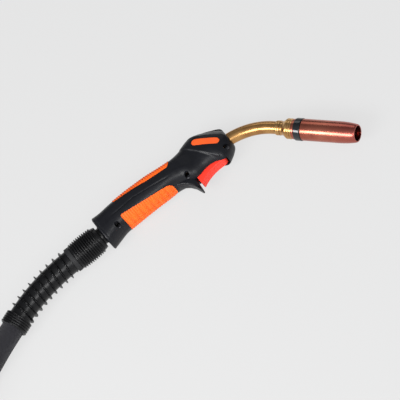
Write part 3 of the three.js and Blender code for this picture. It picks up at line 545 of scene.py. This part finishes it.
CERAMIC = moulded("cream_ceramic", (0.74, 0.68, 0.57), 0.35, 1400, 0.15, 0.06)
DARK_STEEL = moulded("dark_steel", (0.1, 0.1, 0.11), 0.36, 1600, 0.12, 0.15, 1.0)
NECK_BRASS = machined(
    "neck_brass", (0.56, 0.31, 0.115), (0.37, 0.17, 0.06), 0.26, (0.3, 0.4, 0.86), marks=0.0,
)
HEAD_BRASS = machined("head_brass", (0.66, 0.41, 0.17), (0.45, 0.23, 0.08), 0.22, nozzle_axis, marks=0.06)
PLUG_BRASS = machined("plug_brass", (0.7, 0.46, 0.19), (0.5, 0.29, 0.1), 0.26, plug_axis, marks=0.1)
LINER_STEEL = machined("liner_steel", (0.5, 0.5, 0.52), (0.3, 0.3, 0.32), 0.35, handle_axis, marks=0.8)
NOZZLE_COPPER = machined(
    "nozzle_copper", (0.5, 0.16, 0.105), (0.38, 0.105, 0.07), 0.24, nozzle_axis,
    tint=((0.42, 0.1, 0.085), nozzle_zero + 0.06, nozzle_zero + 0.115), marks=0.05,
)
TEXTILE = woven("charcoal_textile", (0.0155, 0.015, 0.0185), 46.0, 46.0)
WEBBING = moulded("webbing", (0.016, 0.016, 0.018), 0.85, 700, 0.8, 0.25)


# ---------------------------------------------------------------- the cable, its tie and its route
def coil_point(turned_by):
    """The wound cable's centre, after that many degrees round the coil."""
    radius = 154 - 28 * ease(300, 360, turned_by) + 14 * ease(625, 700, turned_by)
    height = 14 + 28 * ease(595, 680, turned_by) - 3.8 * ease(740, 800, turned_by)
    angle = COIL_START_ANGLE - turned_by
    off_tie = (angle - TIE_ANGLE + 180) % 360 - 180
    height += (TIE_THICK + GAP) * math.exp(-((off_tie / 16) ** 2))
    a = math.radians(angle)
    return Vector((COIL_CENTRE[0] + radius * math.cos(a), COIL_CENTRE[1] + radius * math.sin(a), height))


COIL_STEP = 4
coil_points = [coil_point(t) for t in range(COIL_STEP, COIL_TURNED - COIL_STEP, COIL_STEP)]
lead_points = spline([*CABLE_ROUTE, coil_points[0]], 6.0)[:-1]
tail_points = spline([coil_points[-2], coil_points[-1], *CABLE_END_ROUTE], 6.0)[2:]
cable_path = [*lead_points, *coil_points, *tail_points]


def make_cable():
    sides = 40
    verts, rows, distances = [], [], [0.0]
    side = Vector((0, 0, 1))
    for i, point in enumerate(cable_path):
        ahead = cable_path[min(i + 1, len(cable_path) - 1)] - cable_path[max(i - 1, 0)]
        ahead.normalize()
        side = (side - ahead * side.dot(ahead)).normalized()
        other = ahead.cross(side)
        if i:
            distances.append(distances[-1] + (point - cable_path[i - 1]).length)
        row = []
        for k in range(sides):
            a = 2 * math.pi * k / sides
            row.append(len(verts))
            verts.append(point + CABLE_R * (side * math.cos(a) + other * math.sin(a)))
        rows.append(row)
    mesh = bpy.data.meshes.new("cable")
    faces = []
    corners = []
    for i, (one, two) in enumerate(zip(rows, rows[1:])):
        for k in range(sides):
            n = (k + 1) % sides
            faces.append([one[k], one[n], two[n], two[k]])
            low, high = distances[i] / WEAVE_REPEAT, distances[i + 1] / WEAVE_REPEAT
            corners += [(k / sides, low), ((k + 1) / sides, low), ((k + 1) / sides, high), (k / sides, high)]
    for row in (list(reversed(rows[0])), rows[-1]):
        faces.append(row)
        corners += [(0.5, 0.5)] * sides
    mesh.from_pydata([tuple(v * MM) for v in verts], [], faces)
    layer = mesh.uv_layers.new(name="weave")
    for loop, corner in zip(layer.data, corners):
        loop.uv = corner
    obj = bpy.data.objects.new("cable", mesh)
    bpy.context.scene.collection.objects.link(obj)
    finished(obj, "cable", TEXTILE, ["cable_sheath", "cable_coil", "cable_tail"], 60)
    return obj, distances[-1] * MM


def make_tie():
    """A webbing strap pulled tight round the three turns of the coil."""
    here = [t for t in range(0, COIL_TURNED) if round(COIL_START_ANGLE - t - TIE_ANGLE) % 360 == 0]
    centres = []
    for t in here:
        point = coil_point(t)
        radius = math.hypot(point.x - COIL_CENTRE[0], point.y - COIL_CENTRE[1])
        centres.append(Vector((radius, point.z)))
    count = 96

    def hull(reach):
        outline = []
        for k in range(count):
            way = Vector((math.cos(math.tau * k / count), math.sin(math.tau * k / count)))
            outline.append(max(centres, key=lambda c: c.dot(way)) + way * reach)
        return outline

    rows = []
    inside, outside = CABLE_R + 0.15, CABLE_R + TIE_THICK
    for reach, half in ((inside, -1), (inside, 1), (outside, 1), (outside, -1)):
        rows.append([Vector((p.x, half * TIE_WIDTH / 2, max(p.y, 0.05))) for p in hull(reach)])
    verts = [p for row in rows for p in row]
    faces = []
    for r in range(4):
        for k in range(count):
            a, b = r * count, ((r + 1) % 4) * count
            n = (k + 1) % count
            faces.append([a + k, a + n, b + n, b + k])
    place = Matrix.Translation((*COIL_CENTRE, 0)) @ Matrix.Rotation(math.radians(TIE_ANGLE), 4, "Z")
    obj = mesh_object("coil_tie_fine", verts, faces, ROW @ place)
    return finished(obj, "cable", WEBBING, ["coil_tie"])


cable, cable_length = make_cable()
tie = make_tie()


# ---------------------------------------------------------------- the plug
def make_plug():
    pieces = []

    def add_piece(node, profile, body, material, slot, **more):
        pieces.append(turned(node, profile, PLUG, body, material, slot, **more))
        return pieces[-1]

    ribs = [(-22, 14.6), (-22, 16)]
    for k in range(6):
        x = -19 + 5 * k
        edge = 16.4 + 0.45 * k
        ribs += [(x, edge), (x + 0.8, edge + 0.9), (x + 2.4, edge + 0.9), (x + 3.2, edge + 0.1)]
    ribs += [(12, 20), (20, 20), (20, 4), (0.3, 4), (0.3, 14.6)]
    add_piece("plug_strain_relief", ribs, "cable", BLACK_RUBBER, "relief_rubber")

    def gripped(x, r, a):
        return r - 0.7 * max(0.0, math.cos(18 * a)) if r > 22 and 30 < x < 58 else r

    housing = [(20.3, 4), (20.3, 20), (26, 22.5), (30, 22.5), (31, 22.4), (57, 22.4), (58, 22.5)]
    housing += [(62, 22.5), (66, 23.5), (74, 23.5), (74, 4)]
    add_piece("plug_housing", housing, "cable", BLACK_PLASTIC, "handle_plastic", radius_at=gripped, sides=216)
    body = [(74.3, 3), (74.3, 17.8), (92.3, 17.8), (92.3, 20.5), (96.3, 20.5), (96.3, 17.8), (112, 17.8)]
    body += [(112, 5.3), (100, 5.3), (100, 3)]
    piece = add_piece("plug_body", body, "cable", PLUG_BRASS, "fitting_brass")
    for side in (1, -1):
        hole = lathe([(103, 0), (103, 1.9), (114, 1.9), (114, 0)], 32)
        shifted = [Vector(v) + Vector((0, 0, side * PLUG_PIN_SPACING)) for v in hole[0]]
        cut(piece, ([PLUG @ v for v in shifted], hole[1]))
    finished(piece, "cable", PLUG_BRASS)

    def knurled(x, r, a):
        return r - 0.5 + 0.5 * math.cos(48 * a) if r > 24 and 78 < x < 102 else r

    nut = [(76, 18.4), (76, 23.5), (77.5, 24.5), (78.2, 25), (101.8, 25), (102.5, 24.5), (104, 23.5)]
    nut += [(104, 21.1), (92, 21.1), (92, 18.4)]
    add_piece("plug_nut", nut, "plug_nut", BLACK_PLASTIC, "handle_plastic", radius_at=knurled, sides=288)
    nipple = [(100.3, 1.6), (100.3, 5), (114, 5), (114.6, 4.3), (116.6, 4.3), (117.2, 5), (120, 5)]
    nipple += [(120.6, 4.3), (122.6, 4.3), (123.2, 5), (128, 4.4), (128, 1.6)]
    add_piece("gas_nipple", nipple, "cable", PLUG_BRASS, "fitting_brass", corner=0.15)
    for node, side in (("plug_pin_upper", 1), ("plug_pin_lower", -1)):
        profile = [(103.3, 0), (103.3, 1.6), (117.6, 1.6), (119, 0.9), (119, 0)]
        shape = lathe(rounded(profile, 0.3, False), 32)
        verts = [Vector(v) + Vector((0, 0, side * PLUG_PIN_SPACING)) for v in shape[0]]
        obj = mesh_object(f"{node}_fine", verts, shape[1], PLUG)
        pieces.append(finished(obj, "cable", PLUG_BRASS, [node]))
    return pieces


plug_pieces = make_plug()


# ---------------------------------------------------------------- the handle's form
LABEL_ALONG = Vector((math.cos(LABEL_ANGLE), math.sin(LABEL_ANGLE)))
LABEL_UP = Vector((-LABEL_ALONG.y, LABEL_ALONG.x))
RIDGE = 9.0  # the top facet starts this far above the label's centre line
FACET_SLOPE = 0.62
CREASE = (Vector((143.0, 6.0)), Vector((169.0, -31.0)))
CREASE_STEP = 1.3
SEAM_LINE = [(18, 1.0), (56, 1.9), (84, -3.2), (108, -8.0)]  # a fine groove along the grip


def section_at(x):
    last = len(STATIONS) - 1
    i = next((k for k in range(last) if x <= STATIONS[k + 1][0]), last - 1)
    a, b = STATIONS[i], STATIONS[i + 1]
    before, after = STATIONS[max(i - 1, 0)], STATIONS[min(i + 2, last)]
    span = b[0] - a[0]
    t = min(max((x - a[0]) / span, 0.0), 1.0)
    values = []
    for k in (1, 2, 3):
        slope_a = (b[k] - before[k]) / (b[0] - before[0])
        slope_b = (after[k] - a[k]) / (after[0] - a[0])
        values.append(
            a[k] * (2 * t**3 - 3 * t**2 + 1) + slope_a * span * (t**3 - 2 * t**2 + t)
            + b[k] * (3 * t**2 - 2 * t**3) + slope_b * span * (t**3 - t**2)
        )
    return values


def groove_height(x):
    for (xa, ya), (xb, yb) in zip(SEAM_LINE, SEAM_LINE[1:]):
        if xa <= x <= xb:
            return ya + (yb - ya) * (x - xa) / (xb - xa)
    return None


END_ROUND = 2.4
RIM_X = 4.2  # a fine line follows the rear edge here


def end_round(x):
    """How far the surface falls in over the rounds at the handle's two ends."""
    near = min(x, HANDLE_LENGTH - x)
    if near >= END_ROUND:
        return 0.0
    return END_ROUND - math.sqrt(END_ROUND ** 2 - (END_ROUND - max(near, 0)) ** 2)


def relief(x, y):
    """How far the handle's side is set in, for its facet, panel and groove."""
    place = Vector((x, y))
    above = (place - Vector(LABEL_CENTRE)).dot(LABEL_UP)
    inward = ease(146, 160, x) * FACET_SLOPE * max(above - RIDGE, 0)
    way = (CREASE[1] - CREASE[0]).normalized()
    behind = -(place - CREASE[0]).dot(Vector((-way.y, way.x)))
    inward += CREASE_STEP * ease(-0.6, 1.6, behind) * (1 - ease(6, 32, behind)) * ease(118, 140, x)
    level = groove_height(x)
    inward += 0.45 * math.exp(-(((x - RIM_X) / 0.55) ** 2))
    if level is not None:
        fade = ease(18, 26, x) * (1 - ease(98, 108, x))
        inward += 0.8 * fade * math.exp(-(((y - level) / 0.8) ** 2))
    return inward


def half_form(by, start, end, step, around=110, side=1, wave=None):
    """One half of the handle's form as a closed body, set in by a distance."""
    count = max(2, round((end - start) / step))
    verts, faces = [], []
    for i in range(count + 1):
        x = start + (end - start) * i / count
        crest, belly, half = section_at(x)
        middle, tall = (crest + belly) / 2, (crest - belly) / 2
        for k in range(around + 1):
            a = math.pi * k / around
            proud = -by + (wave(x, a) if wave else 0) - (end_round(x) if by < HANDLE_WALL else 0)
            y = middle + (tall + proud) * power(math.cos(a), 2 / SECTION_POWER)
            z = (half + proud) * max(math.sin(a), 0) ** (2 / SECTION_POWER)
            z = min(z, SIDE_FLAT + min(proud, 0))
            z = max(z - relief(x, y) * ease(0, 6, z), 0)
            verts.append((x, y, side * max(z, GAP / 2)))
    row = around + 1
    for i in range(count):
        for k in range(row):
            a, b = i * row + k, i * row + (k + 1) % row
            faces.append([a, b, b + row, a + row])
    faces += [list(range(row)), list(range(count * row, (count + 1) * row))]
    return verts, faces


def pill(length, width):
    r, half = width / 2, length / 2 - width / 2
    points = []
    for middle, first in ((half, -90), (-half, 90)):
        for k in range(13):
            a = math.radians(first + 15 * k)
            ahead = LABEL_ALONG * (middle + r * math.cos(a))
            points.append(Vector(LABEL_CENTRE) + ahead + LABEL_UP * r * math.sin(a))
    return points


LOWER_PAD = [(30.5, -6.2), (96.5, -13.6), (101.5, -15), (103.2, -19.5), (103.6, -40), (34, -40)]
BACK_PAD = [(34, 16), (62, 12), (82, 7.5), (111, 3.8), (115.5, 9), (117.5, 30), (33, 30)]
SPUR = [
    (100, -8), (106, -17), (112, -20.8), (117, -25.5), (121.5, -33), (124.4, -42.2), (125.7, -44.6),
    (127.1, -43.4), (127.9, -36), (128.2, -28), (128.2, -12),
]


def pad_ribs(x, a):
    """Fine ribs on the pad's side, and wider lobes along its lower edge."""
    below = ease(0.74 * math.pi, 0.92 * math.pi, a)
    rib = 0.55 * (0.5 + 0.5 * math.cos(math.tau * x / PAD_RIB_PITCH)) - 0.35
    lobe = 0.9 * abs(math.cos(math.pi * x / PAD_LOBE_PITCH)) - 0.6
    return rib * (1 - below) + lobe * below


def skin(outline, proud, deep, side, start, end, wave=None, step=0.5):
    """A piece of the handle's skin inside an outline."""
    obj = mesh_object("skin", *half_form(-proud, start, end, step, side=side, wave=wave))
    cut(obj, half_form(deep, start - 1, end + 1, 3, side=side))
    low, high = (GAP, BEYOND) if side > 0 else (-BEYOND, -GAP)
    return combined(obj, prism(outline, low, high), "INTERSECT")


def make_inlays():
    for side, label in ((1, "right"), (-1, "left")):
        for node, outline, span, corner in (
            ("grip_pad_lower", LOWER_PAD, (29, 105), PAD_CORNER), ("grip_pad_back", BACK_PAD, (31, 119), 2.0),
        ):
            obj = skin(rounded(outline, corner), PAD_PROUD, PAD_DEPTH, side, *span, wave=pad_ribs, step=0.38)
            obj.name = f"{node}_{label}_fine"
            finished(placed(obj, TORCH), "handle", GRIP_ORANGE, [f"{node}_{label}"], 50)
        obj = skin(pill(*LABEL_SIZE), -LABEL_SINK, LABEL_DEPTH, side, 148, 184)
        obj.name = f"label_plate_{label}_fine"
        finished(placed(obj, TORCH), "handle", LABEL_ORANGE, [f"label_plate_{label}"])


CAVITY_STRETCH = 1.02  # across the handle; it leaves a film of 0.003 mm over the cavity at the parting plane
PIN_HOLE = (-TRIGGER_PIN_HALF - GAP, TRIGGER_PIN_HALF + GAP, TRIGGER_PIN_R + GAP)


def recess(outline, deep, reach):
    """The shape that sinks an outline into the shell's side, down to a form."""
    return as_shape(combined(mesh_object("space", *prism(inset(outline, -GAP), *reach)), deep, "DIFFERENCE"))


def make_shell(side, label):
    obj = mesh_object(f"handle_shell_{label}_fine", *half_form(0, 0, HANDLE_LENGTH, 0.8, side=side))
    spur = soft_plate(rounded(SPUR, 1.5), SPUR_HALF_WIDTH, 1.6)
    reach = (GAP / 2, 30) if side > 0 else (-30, -GAP / 2)
    half_space = box((90, -BEYOND, reach[0]), (140, 0, reach[1]))
    combined(obj, as_shape(combined(mesh_object("spur", *spur), half_space, "INTERSECT")), "UNION")
    cavity_end = HANDLE_LENGTH - HANDLE_WALL
    cut(obj, half_form(HANDLE_WALL, 3, cavity_end, 3, side=side * CAVITY_STRETCH))
    rear, front, half, top = SLOT
    cut(obj, box((rear, -BEYOND, -half), (front, top, half)))
    reach = (0, BEYOND) if side > 0 else (-BEYOND, 0)
    pad_bed = half_form(PAD_DEPTH + GAP, 20, 130, 2, side=side)
    for outline in (LOWER_PAD, BACK_PAD):
        cut(obj, recess(rounded(outline, PAD_CORNER), pad_bed, reach))
    label_bed = half_form(LABEL_DEPTH + GAP, 140, 189, 2, side=side)
    cut(obj, recess(pill(*LABEL_SIZE), label_bed, reach))
    bore = TUBE_R + GAP
    tube = fine([(40, 0), (40, bore), (NECK_LENGTH, bore), (NECK_LENGTH, 0)], 2.0)
    cut(obj, lathe(tube, 64, NECK))
    seat_r = BALL_R + BALL_SEAT_GAP
    angles = [math.pi * k / 32 for k in range(33)]
    seat = [(BALL_X - seat_r * math.cos(a), seat_r * math.sin(a)) for a in angles]
    cut(obj, lathe(seat, 72), rod(*TRIGGER_PIVOT, *PIN_HOLE))
    if side > 0:
        for x, y in SCREWS.values():
            cut(obj, rod(x, y, SCREW_HEAD_Z - GAP, BEYOND, SCREW_HEAD_R + GAP))
    finished(placed(obj, TORCH), "handle", BLACK_PLASTIC, [f"handle_shell_{label}"], 40)


def make_screws():
    for name, (x, y) in SCREWS.items():
        low, top = SCREW_HEAD_Z, SCREW_TOP_Z
        head = [(low, 0), (low, SCREW_HEAD_R), (top, SCREW_HEAD_R), (top, 0)]
        verts, faces = lathe(rounded(head, 0.5, False), 40)
        obj = mesh_object(f"handle_screw_{name}_fine", [(x + v[1], y + v[2], v[0]) for v in verts], faces)
        combined(obj, rod(x, y, -10, 7.4, SCREW_SHANK_R), "UNION")
        cut(obj, rod(x, y, SCREW_SOCKET_Z, 12, SCREW_SOCKET_R, 6))
        finished(placed(obj, TORCH), "handle", DARK_STEEL, [f"handle_screw_{name}"])


for shell_side, shell_label in ((1, "right"), (-1, "left")):
    make_shell(shell_side, shell_label)
make_inlays()
make_screws()


# ---------------------------------------------------------------- trigger
TRIGGER_OUTLINE = [
    (130.6, -24.5), (130.6, -37), (131.4, -38), (132.4, -37.6), (136, -35.6), (141, -33.6), (146, -32.2),
    (151, -31.3), (157, -30.8), (163, -31), (168.5, -31.3), (171.8, -29.4), (172.8, -26.5), (171.6, -23.6),
    (168.5, -22.3),
]
TRIGGER_CHANNEL = [
    (132.4, -15), (132.4, -35.6), (136, -33.7), (141, -31.7), (146, -30.3), (151, -29.4), (157, -28.9),
    (161.4, -28.9), (161.4, -15),
]


def make_trigger():
    obj = mesh_object("trigger_fine", *soft_plate(rounded(TRIGGER_OUTLINE, 1.2), TRIGGER_HALF_WIDTH, 0.9))
    channel = prism(TRIGGER_CHANNEL, -TRIGGER_CHANNEL_HALF, TRIGGER_CHANNEL_HALF)
    cut(obj, channel, rod(*TRIGGER_PIVOT, -20, 20, TRIGGER_PIN_R + GAP))
    finished(placed(obj, TORCH), "trigger", TRIGGER_RED, ["trigger"])
    pin_shape = rod(*TRIGGER_PIVOT, -TRIGGER_PIN_HALF, TRIGGER_PIN_HALF, TRIGGER_PIN_R)
    pin = mesh_object("trigger_pivot_pin_fine", *pin_shape, TORCH)
    finished(pin, "handle", DARK_STEEL, ["trigger_pivot_pin"])


make_trigger()


# ---------------------------------------------------------------- neck and nozzle end
def make_neck():
    tube = [(0, TUBE_BORE_R), (0, TUBE_R), (NECK_LENGTH, TUBE_R), (NECK_LENGTH, TUBE_BORE_R)]
    turned("swan_neck_tube", tube, TORCH, "handle", NECK_BRASS, "neck_brass", corner=0.3, sides=80, bend=NECK)
    socket = TUBE_R + GAP
    collar = [
        (-6, socket), (-6, 8.6), (-5, 9), (-3.2, 9), (-2.9, 8.6), (-2.5, 8.6), (-2.2, 9), (0, 9), (0, socket),
    ]
    head = [
        (0.3, 6), (0.3, 8.65), (3.8, 8.65), (9, 12.5), (10.6, 12.5), (11, 11.7), (12, 11.7), (12.4, 12.5),
        (14.2, 12.5), (14.6, 11.4), (16.5, 11.4), (16.5, 9), (33, 9), (33, 6.3), (22, 6.3), (22, 6),
    ]
    seat = [(16.8, 9.3), (16.8, 12.2), (17.3, 12.4), (19.8, 12.4), (20.3, 12.2), (20.3, 9.3)]
    insulator = [
        (20.6, 9.3), (20.6, 13.4), (21.4, 13.8), (28.5, 13.8), (29.3, 13.4), (29.3, 10.7), (38, 10.7),
        (38, 9.3),
    ]
    holder = [
        (22.3, 2.6), (22.3, 6), (33.4, 6), (33.4, 7), (38.4, 7), (38.4, 5.4), (62, 5.4), (62, 3.2), (52, 3.2),
        (52, 2.6),
    ]
    tip = [(52.3, 0.8), (52.3, 2.9), (62.3, 2.9), (62.3, 5), (86, 5), (90.5, 4.2), (93, 3.2), (93, 0.8)]
    nozzle = [
        (29.6, 11), (29.6, 13.0), (30.2, 13.2), (76.8, 13.2), (82, 13.1), (88, 12.75), (94, 12.1),
        (98, 11.45), (100, 10.95), (100.8, 10.2), (100.8, 9.2), (98, 9.1), (90, 9.8), (76.8, 11),
    ]
    for node, profile, body, material, slot in (
        ("neck_collar", collar, "handle", HEAD_BRASS, "fitting_brass"),
        ("neck_head", head, "handle", HEAD_BRASS, "fitting_brass"),
        ("nozzle_seat_ring", seat, "handle", NOZZLE_COPPER, "nozzle_copper"),
        ("nozzle_insulator", insulator, "handle", INSULATOR, "insulator_plastic"),
        ("tip_holder", holder, "handle", HEAD_BRASS, "fitting_brass"),
        ("contact_tip", tip, "handle", NOZZLE_COPPER, "nozzle_copper"),
        ("gas_nozzle", nozzle, "nozzle", NOZZLE_COPPER, "nozzle_copper"),
    ):
        turned(node, profile, NOZZLE_LINE, body, material, slot, corner=0.35, sides=112)
    diffuser = turned(
        "gas_diffuser", [(38.7, 5.7), (38.7, 8.6), (54, 8.6), (54, 5.7)], NOZZLE_LINE, "handle", CERAMIC,
        "diffuser_ceramic", corner=0.5,
    )
    hole = rod(DIFFUSER_HOLE_X, 0, 4, 12, DIFFUSER_HOLE_R, 20)
    for k in range(DIFFUSER_HOLES):
        a = math.tau * k / DIFFUSER_HOLES
        turn = NOZZLE_LINE @ Matrix.Rotation(a, 4, "X")
        cut(diffuser, ([turn @ Vector(v) for v in hole[0]], hole[1]))
    finished(diffuser, "handle", CERAMIC)


make_neck()


# ---------------------------------------------------------------- knuckle and bend relief
def make_knuckle():
    angles = [math.radians(69 + 5 * k) for k in range(10)]
    ball = [(BALL_X + BALL_R * math.cos(a), BALL_R * math.sin(a)) for a in angles]
    stub = [
        *ball, (BALL_X - 7.6, 13.4), (BALL_X - 9, 11), (-3.8, 11), (-3.8, 14.4), (-5.8, 15), (-8.1, 15.5),
        (-8.7, 15.5), (-8.7, 12), (BAND_REAR + 6, 12), (BAND_REAR + 6, 7.8), (BALL_X, 7.8),
        (BALL_X + 5.5, 9.7),
    ]
    turned("knuckle_stub", stub, TORCH, "cable", BLACK_RUBBER, "relief_rubber")
    rear = BARREL_FRONT - BARREL_LENGTH
    pitch = (BARREL_LENGTH - 1.5) / BARREL_RIBS
    barrel = [(BARREL_FRONT, 12.3), (BARREL_FRONT, 16.4)]
    for k in range(BARREL_RIBS):
        x = BARREL_FRONT - 0.9 - k * pitch
        swell = 1.1 * math.sin(math.pi * (k + 0.5) / BARREL_RIBS)
        barrel += [(x, 16.2), (x - 0.5, 17.3 + swell), (x - 1.7, 17.3 + swell), (x - 2.2, 16.2)]
    barrel += [(rear, 16.4), (rear, 12.3)]
    turned("knuckle_barrel", barrel, TORCH, "cable", BLACK_RUBBER, "relief_rubber", corner=0.3, sides=96)
    step = BAND_REAR + RELIEF_LEAD
    front = BAND_REAR + BAND_LENGTH
    band = [(BAND_REAR, 12.3), (BAND_REAR, 13), (step, 13), (step, 15.6), (step + 0.6, 16.2)]
    band += [(front - 1, 16.2), (front, 15.8), (front, 12.3)]
    turned("knuckle_band", band, TORCH, "cable", SATIN_RUBBER, "relief_rubber")


def make_bend_relief():
    """A rubber sleeve with a thin flange that winds round it, carried along its bend."""
    sides, step = 96, 0.5
    length = RELIEF_LENGTH
    pitch = length / RELIEF_RINGS
    count = round(length / step)

    def reach(x, turn):
        phase = (((x - RELIEF_RING_START) / pitch + turn / math.tau) % 1.0) - 0.5
        ends = ease(0.5, 3.5, x) * (1 - ease(length - 3, length - 0.4, x))
        height = math.exp(-((abs(phase) * pitch / FLANGE_HALF) ** 4)) * ends
        return RELIEF_R - 0.5 * (x / length) + (RELIEF_RING_R - RELIEF_R) * height

    verts, faces = [], []
    profile = [(RELIEF_LEAD, 9.0, False), (RELIEF_LEAD, 13.3, False), (0.0, 13.3, False)]
    profile += [(k * step, 0.0, True) for k in range(count + 1)]
    profile += [(length, 12.0, False), (length, 9.0, False)]
    profile += [(length - k * 4, 9.0, False) for k in range(1, int((length - RELIEF_LEAD) / 4))]
    for x, r, winding in profile:
        matrix = RELIEF.frame_at(x)
        for k in range(sides):
            a = math.tau * k / sides
            radius = reach(x, a) if winding else r
            verts.append(matrix @ Vector((0, radius * math.cos(a), radius * math.sin(a))))
    total = len(profile)
    for i in range(total):
        for k in range(sides):
            n, j = (k + 1) % sides, (i + 1) % total
            faces.append([i * sides + k, i * sides + n, j * sides + n, j * sides + k])
    obj = mesh_object("bend_relief_fine", verts, faces, TORCH)
    finished(obj, "cable", BLACK_RUBBER, ["bend_relief"])


def make_end_ring():
    profile = [(0, 9)]
    pitch = END_RING_LENGTH / END_RING_RIBS
    for k in range(END_RING_RIBS):
        x = k * pitch
        profile += [(x + 0.1, 16.1), (x + 0.6, 17.2), (x + 2.1, 17.2), (x + 2.7, 16.1)]
    profile += [(END_RING_LENGTH, 16.1), (END_RING_LENGTH, 14.6), (3, 14.6), (3, 9)]
    matrix = TORCH @ RELIEF.frame_at(RELIEF_LENGTH + GAP)
    turned("cable_end_ring", profile, matrix, "cable", BLACK_RUBBER, "relief_rubber", corner=0.3, sides=96)


make_knuckle()
make_bend_relief()
make_end_ring()

# ---------------------------------------------------------------- finishes of the pieces kept from the frame
KEPT = {
    "microswitch_body": INNER_PLASTIC, "switch_plunger": LABEL_ORANGE, "trigger_lead_right": LEAD_RED,
    "trigger_lead_left": LEAD_RED, "neck_clamp_block": INNER_PLASTIC, "neck_nut": HEAD_BRASS,
    "cable_terminal": HEAD_BRASS, "neck_liner": LINER_STEEL, "handle_cable": CABLE_RUBBER,
    "inner_cable": CABLE_RUBBER,
}
for kept_node, kept_material in KEPT.items():
    kept_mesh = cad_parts[kept_node].data
    kept_mesh.materials.clear()
    kept_mesh.materials.append(kept_material)


# ---------------------------------------------------------------- floor and light
BACKGROUND = (0.8, 0.8, 0.8)
FLOOR_TONE = (0.785, 0.785, 0.785)
FLOOR_HALF = 12
FLOOR_DROP = 0.0006
FLOOR_SHOWN = 0.88  # the share of the floor's flat colour in what is seen; the rest is lit, with the shadow
LIT_SIDE = (-0.6, -0.8, 0.0)  # the studio is brighter on this side
AMBIENT = (0.43, 0.4)  # the studio's level, and how far it rises towards the lit side


def seen_directly(tree):
    """One for what the camera sees, straight or in metal or glass."""
    rays = add(tree, "ShaderNodeLightPath").outputs
    first = {0: rays["Is Camera Ray"], 1: rays["Is Glossy Ray"]}
    both = add(tree, "ShaderNodeMath", first, operation="MAXIMUM")
    inputs = {0: both.outputs[0], 1: rays["Is Transmission Ray"]}
    return add(tree, "ShaderNodeMath", inputs, operation="MAXIMUM").outputs[0]


def make_floor():
    corners = [(x * FLOOR_HALF, y * FLOOR_HALF, 0) for x, y in ((-1, -1), (1, -1), (1, 1), (-1, 1))]
    obj = mesh_object("floor", corners, [[0, 1, 2, 3]])
    obj.location.z = -FLOOR_DROP
    material, tree, shader = blank("pale_floor")
    shader.inputs["Base Color"].default_value = (*BACKGROUND, 1)
    shader.inputs["Roughness"].default_value = 0.9
    shader.inputs["Specular IOR Level"].default_value = 0.0
    glow = add(tree, "ShaderNodeEmission", {"Color": (*FLOOR_TONE, 1)})
    share = add(tree, "ShaderNodeMath", {0: seen_directly(tree), 1: FLOOR_SHOWN}, operation="MULTIPLY")
    mix = add(tree, "ShaderNodeMixShader", {0: share.outputs[0], 1: shader.outputs[0], 2: glow.outputs[0]})
    tree.links.new(mix.outputs[0], tree.nodes["Material Output"].inputs["Surface"])
    obj.data.materials.append(material)


def make_world():
    """A soft studio, brighter on one side; the camera sees it as the flat background."""
    world = bpy.data.worlds.new("studio")
    bpy.context.scene.world = world
    world.use_nodes = True
    tree = world.node_tree
    direction = add(tree, "ShaderNodeTexCoord").outputs["Generated"]
    side = add(tree, "ShaderNodeVectorMath", {0: direction, 1: LIT_SIDE}, operation="DOT_PRODUCT")
    inputs = {0: side.outputs["Value"], 1: AMBIENT[1], 2: AMBIENT[0]}
    level = add(tree, "ShaderNodeMath", inputs, operation="MULTIPLY_ADD")
    lit = add(tree, "ShaderNodeBackground", {"Color": (0.95, 0.97, 1, 1), "Strength": level.outputs[0]})
    shown = add(tree, "ShaderNodeBackground", {"Color": (*BACKGROUND, 1)})
    camera_ray = add(tree, "ShaderNodeLightPath").outputs["Is Camera Ray"]
    mix = add(tree, "ShaderNodeMixShader", {0: camera_ray, 1: lit.outputs[0], 2: shown.outputs[0]})
    tree.links.new(mix.outputs[0], tree.nodes["World Output"].inputs["Surface"])


def make_lamp(name, direction, distance, size, watts, long_side):
    """A soft rectangular lamp that faces the torch, with its long side along the way given."""
    data = bpy.data.lights.new(name, "AREA")
    data.shape = "RECTANGLE"
    data.size, data.size_y = size
    data.energy = watts
    back = Vector(direction).normalized()
    side = Vector(long_side)
    side = (side - back * side.dot(back)).normalized()
    lamp = bpy.data.objects.new(name, data)
    axes = Matrix((side, back.cross(side), back)).transposed().to_4x4()
    lamp.matrix_world = Matrix.Translation(VIEW_CENTRE + back * distance) @ axes
    bpy.context.scene.collection.objects.link(lamp)


make_floor()
make_world()
make_lamp("strip", (-0.66, -0.31, 0.66), 1.3, (0.95, 0.42), 15, (-0.4, 0.9, 0))
make_lamp("front", (0.05, -0.8, 0.75), 1.6, (0.6, 0.6), 8, (1, 0, 0))
make_lamp("top", (0.9, 1.3, 1.0), 1.9, (1.3, 0.9), 3.5, (1, -0.7, 0))

bpy.context.scene.view_settings.view_transform = "Standard"
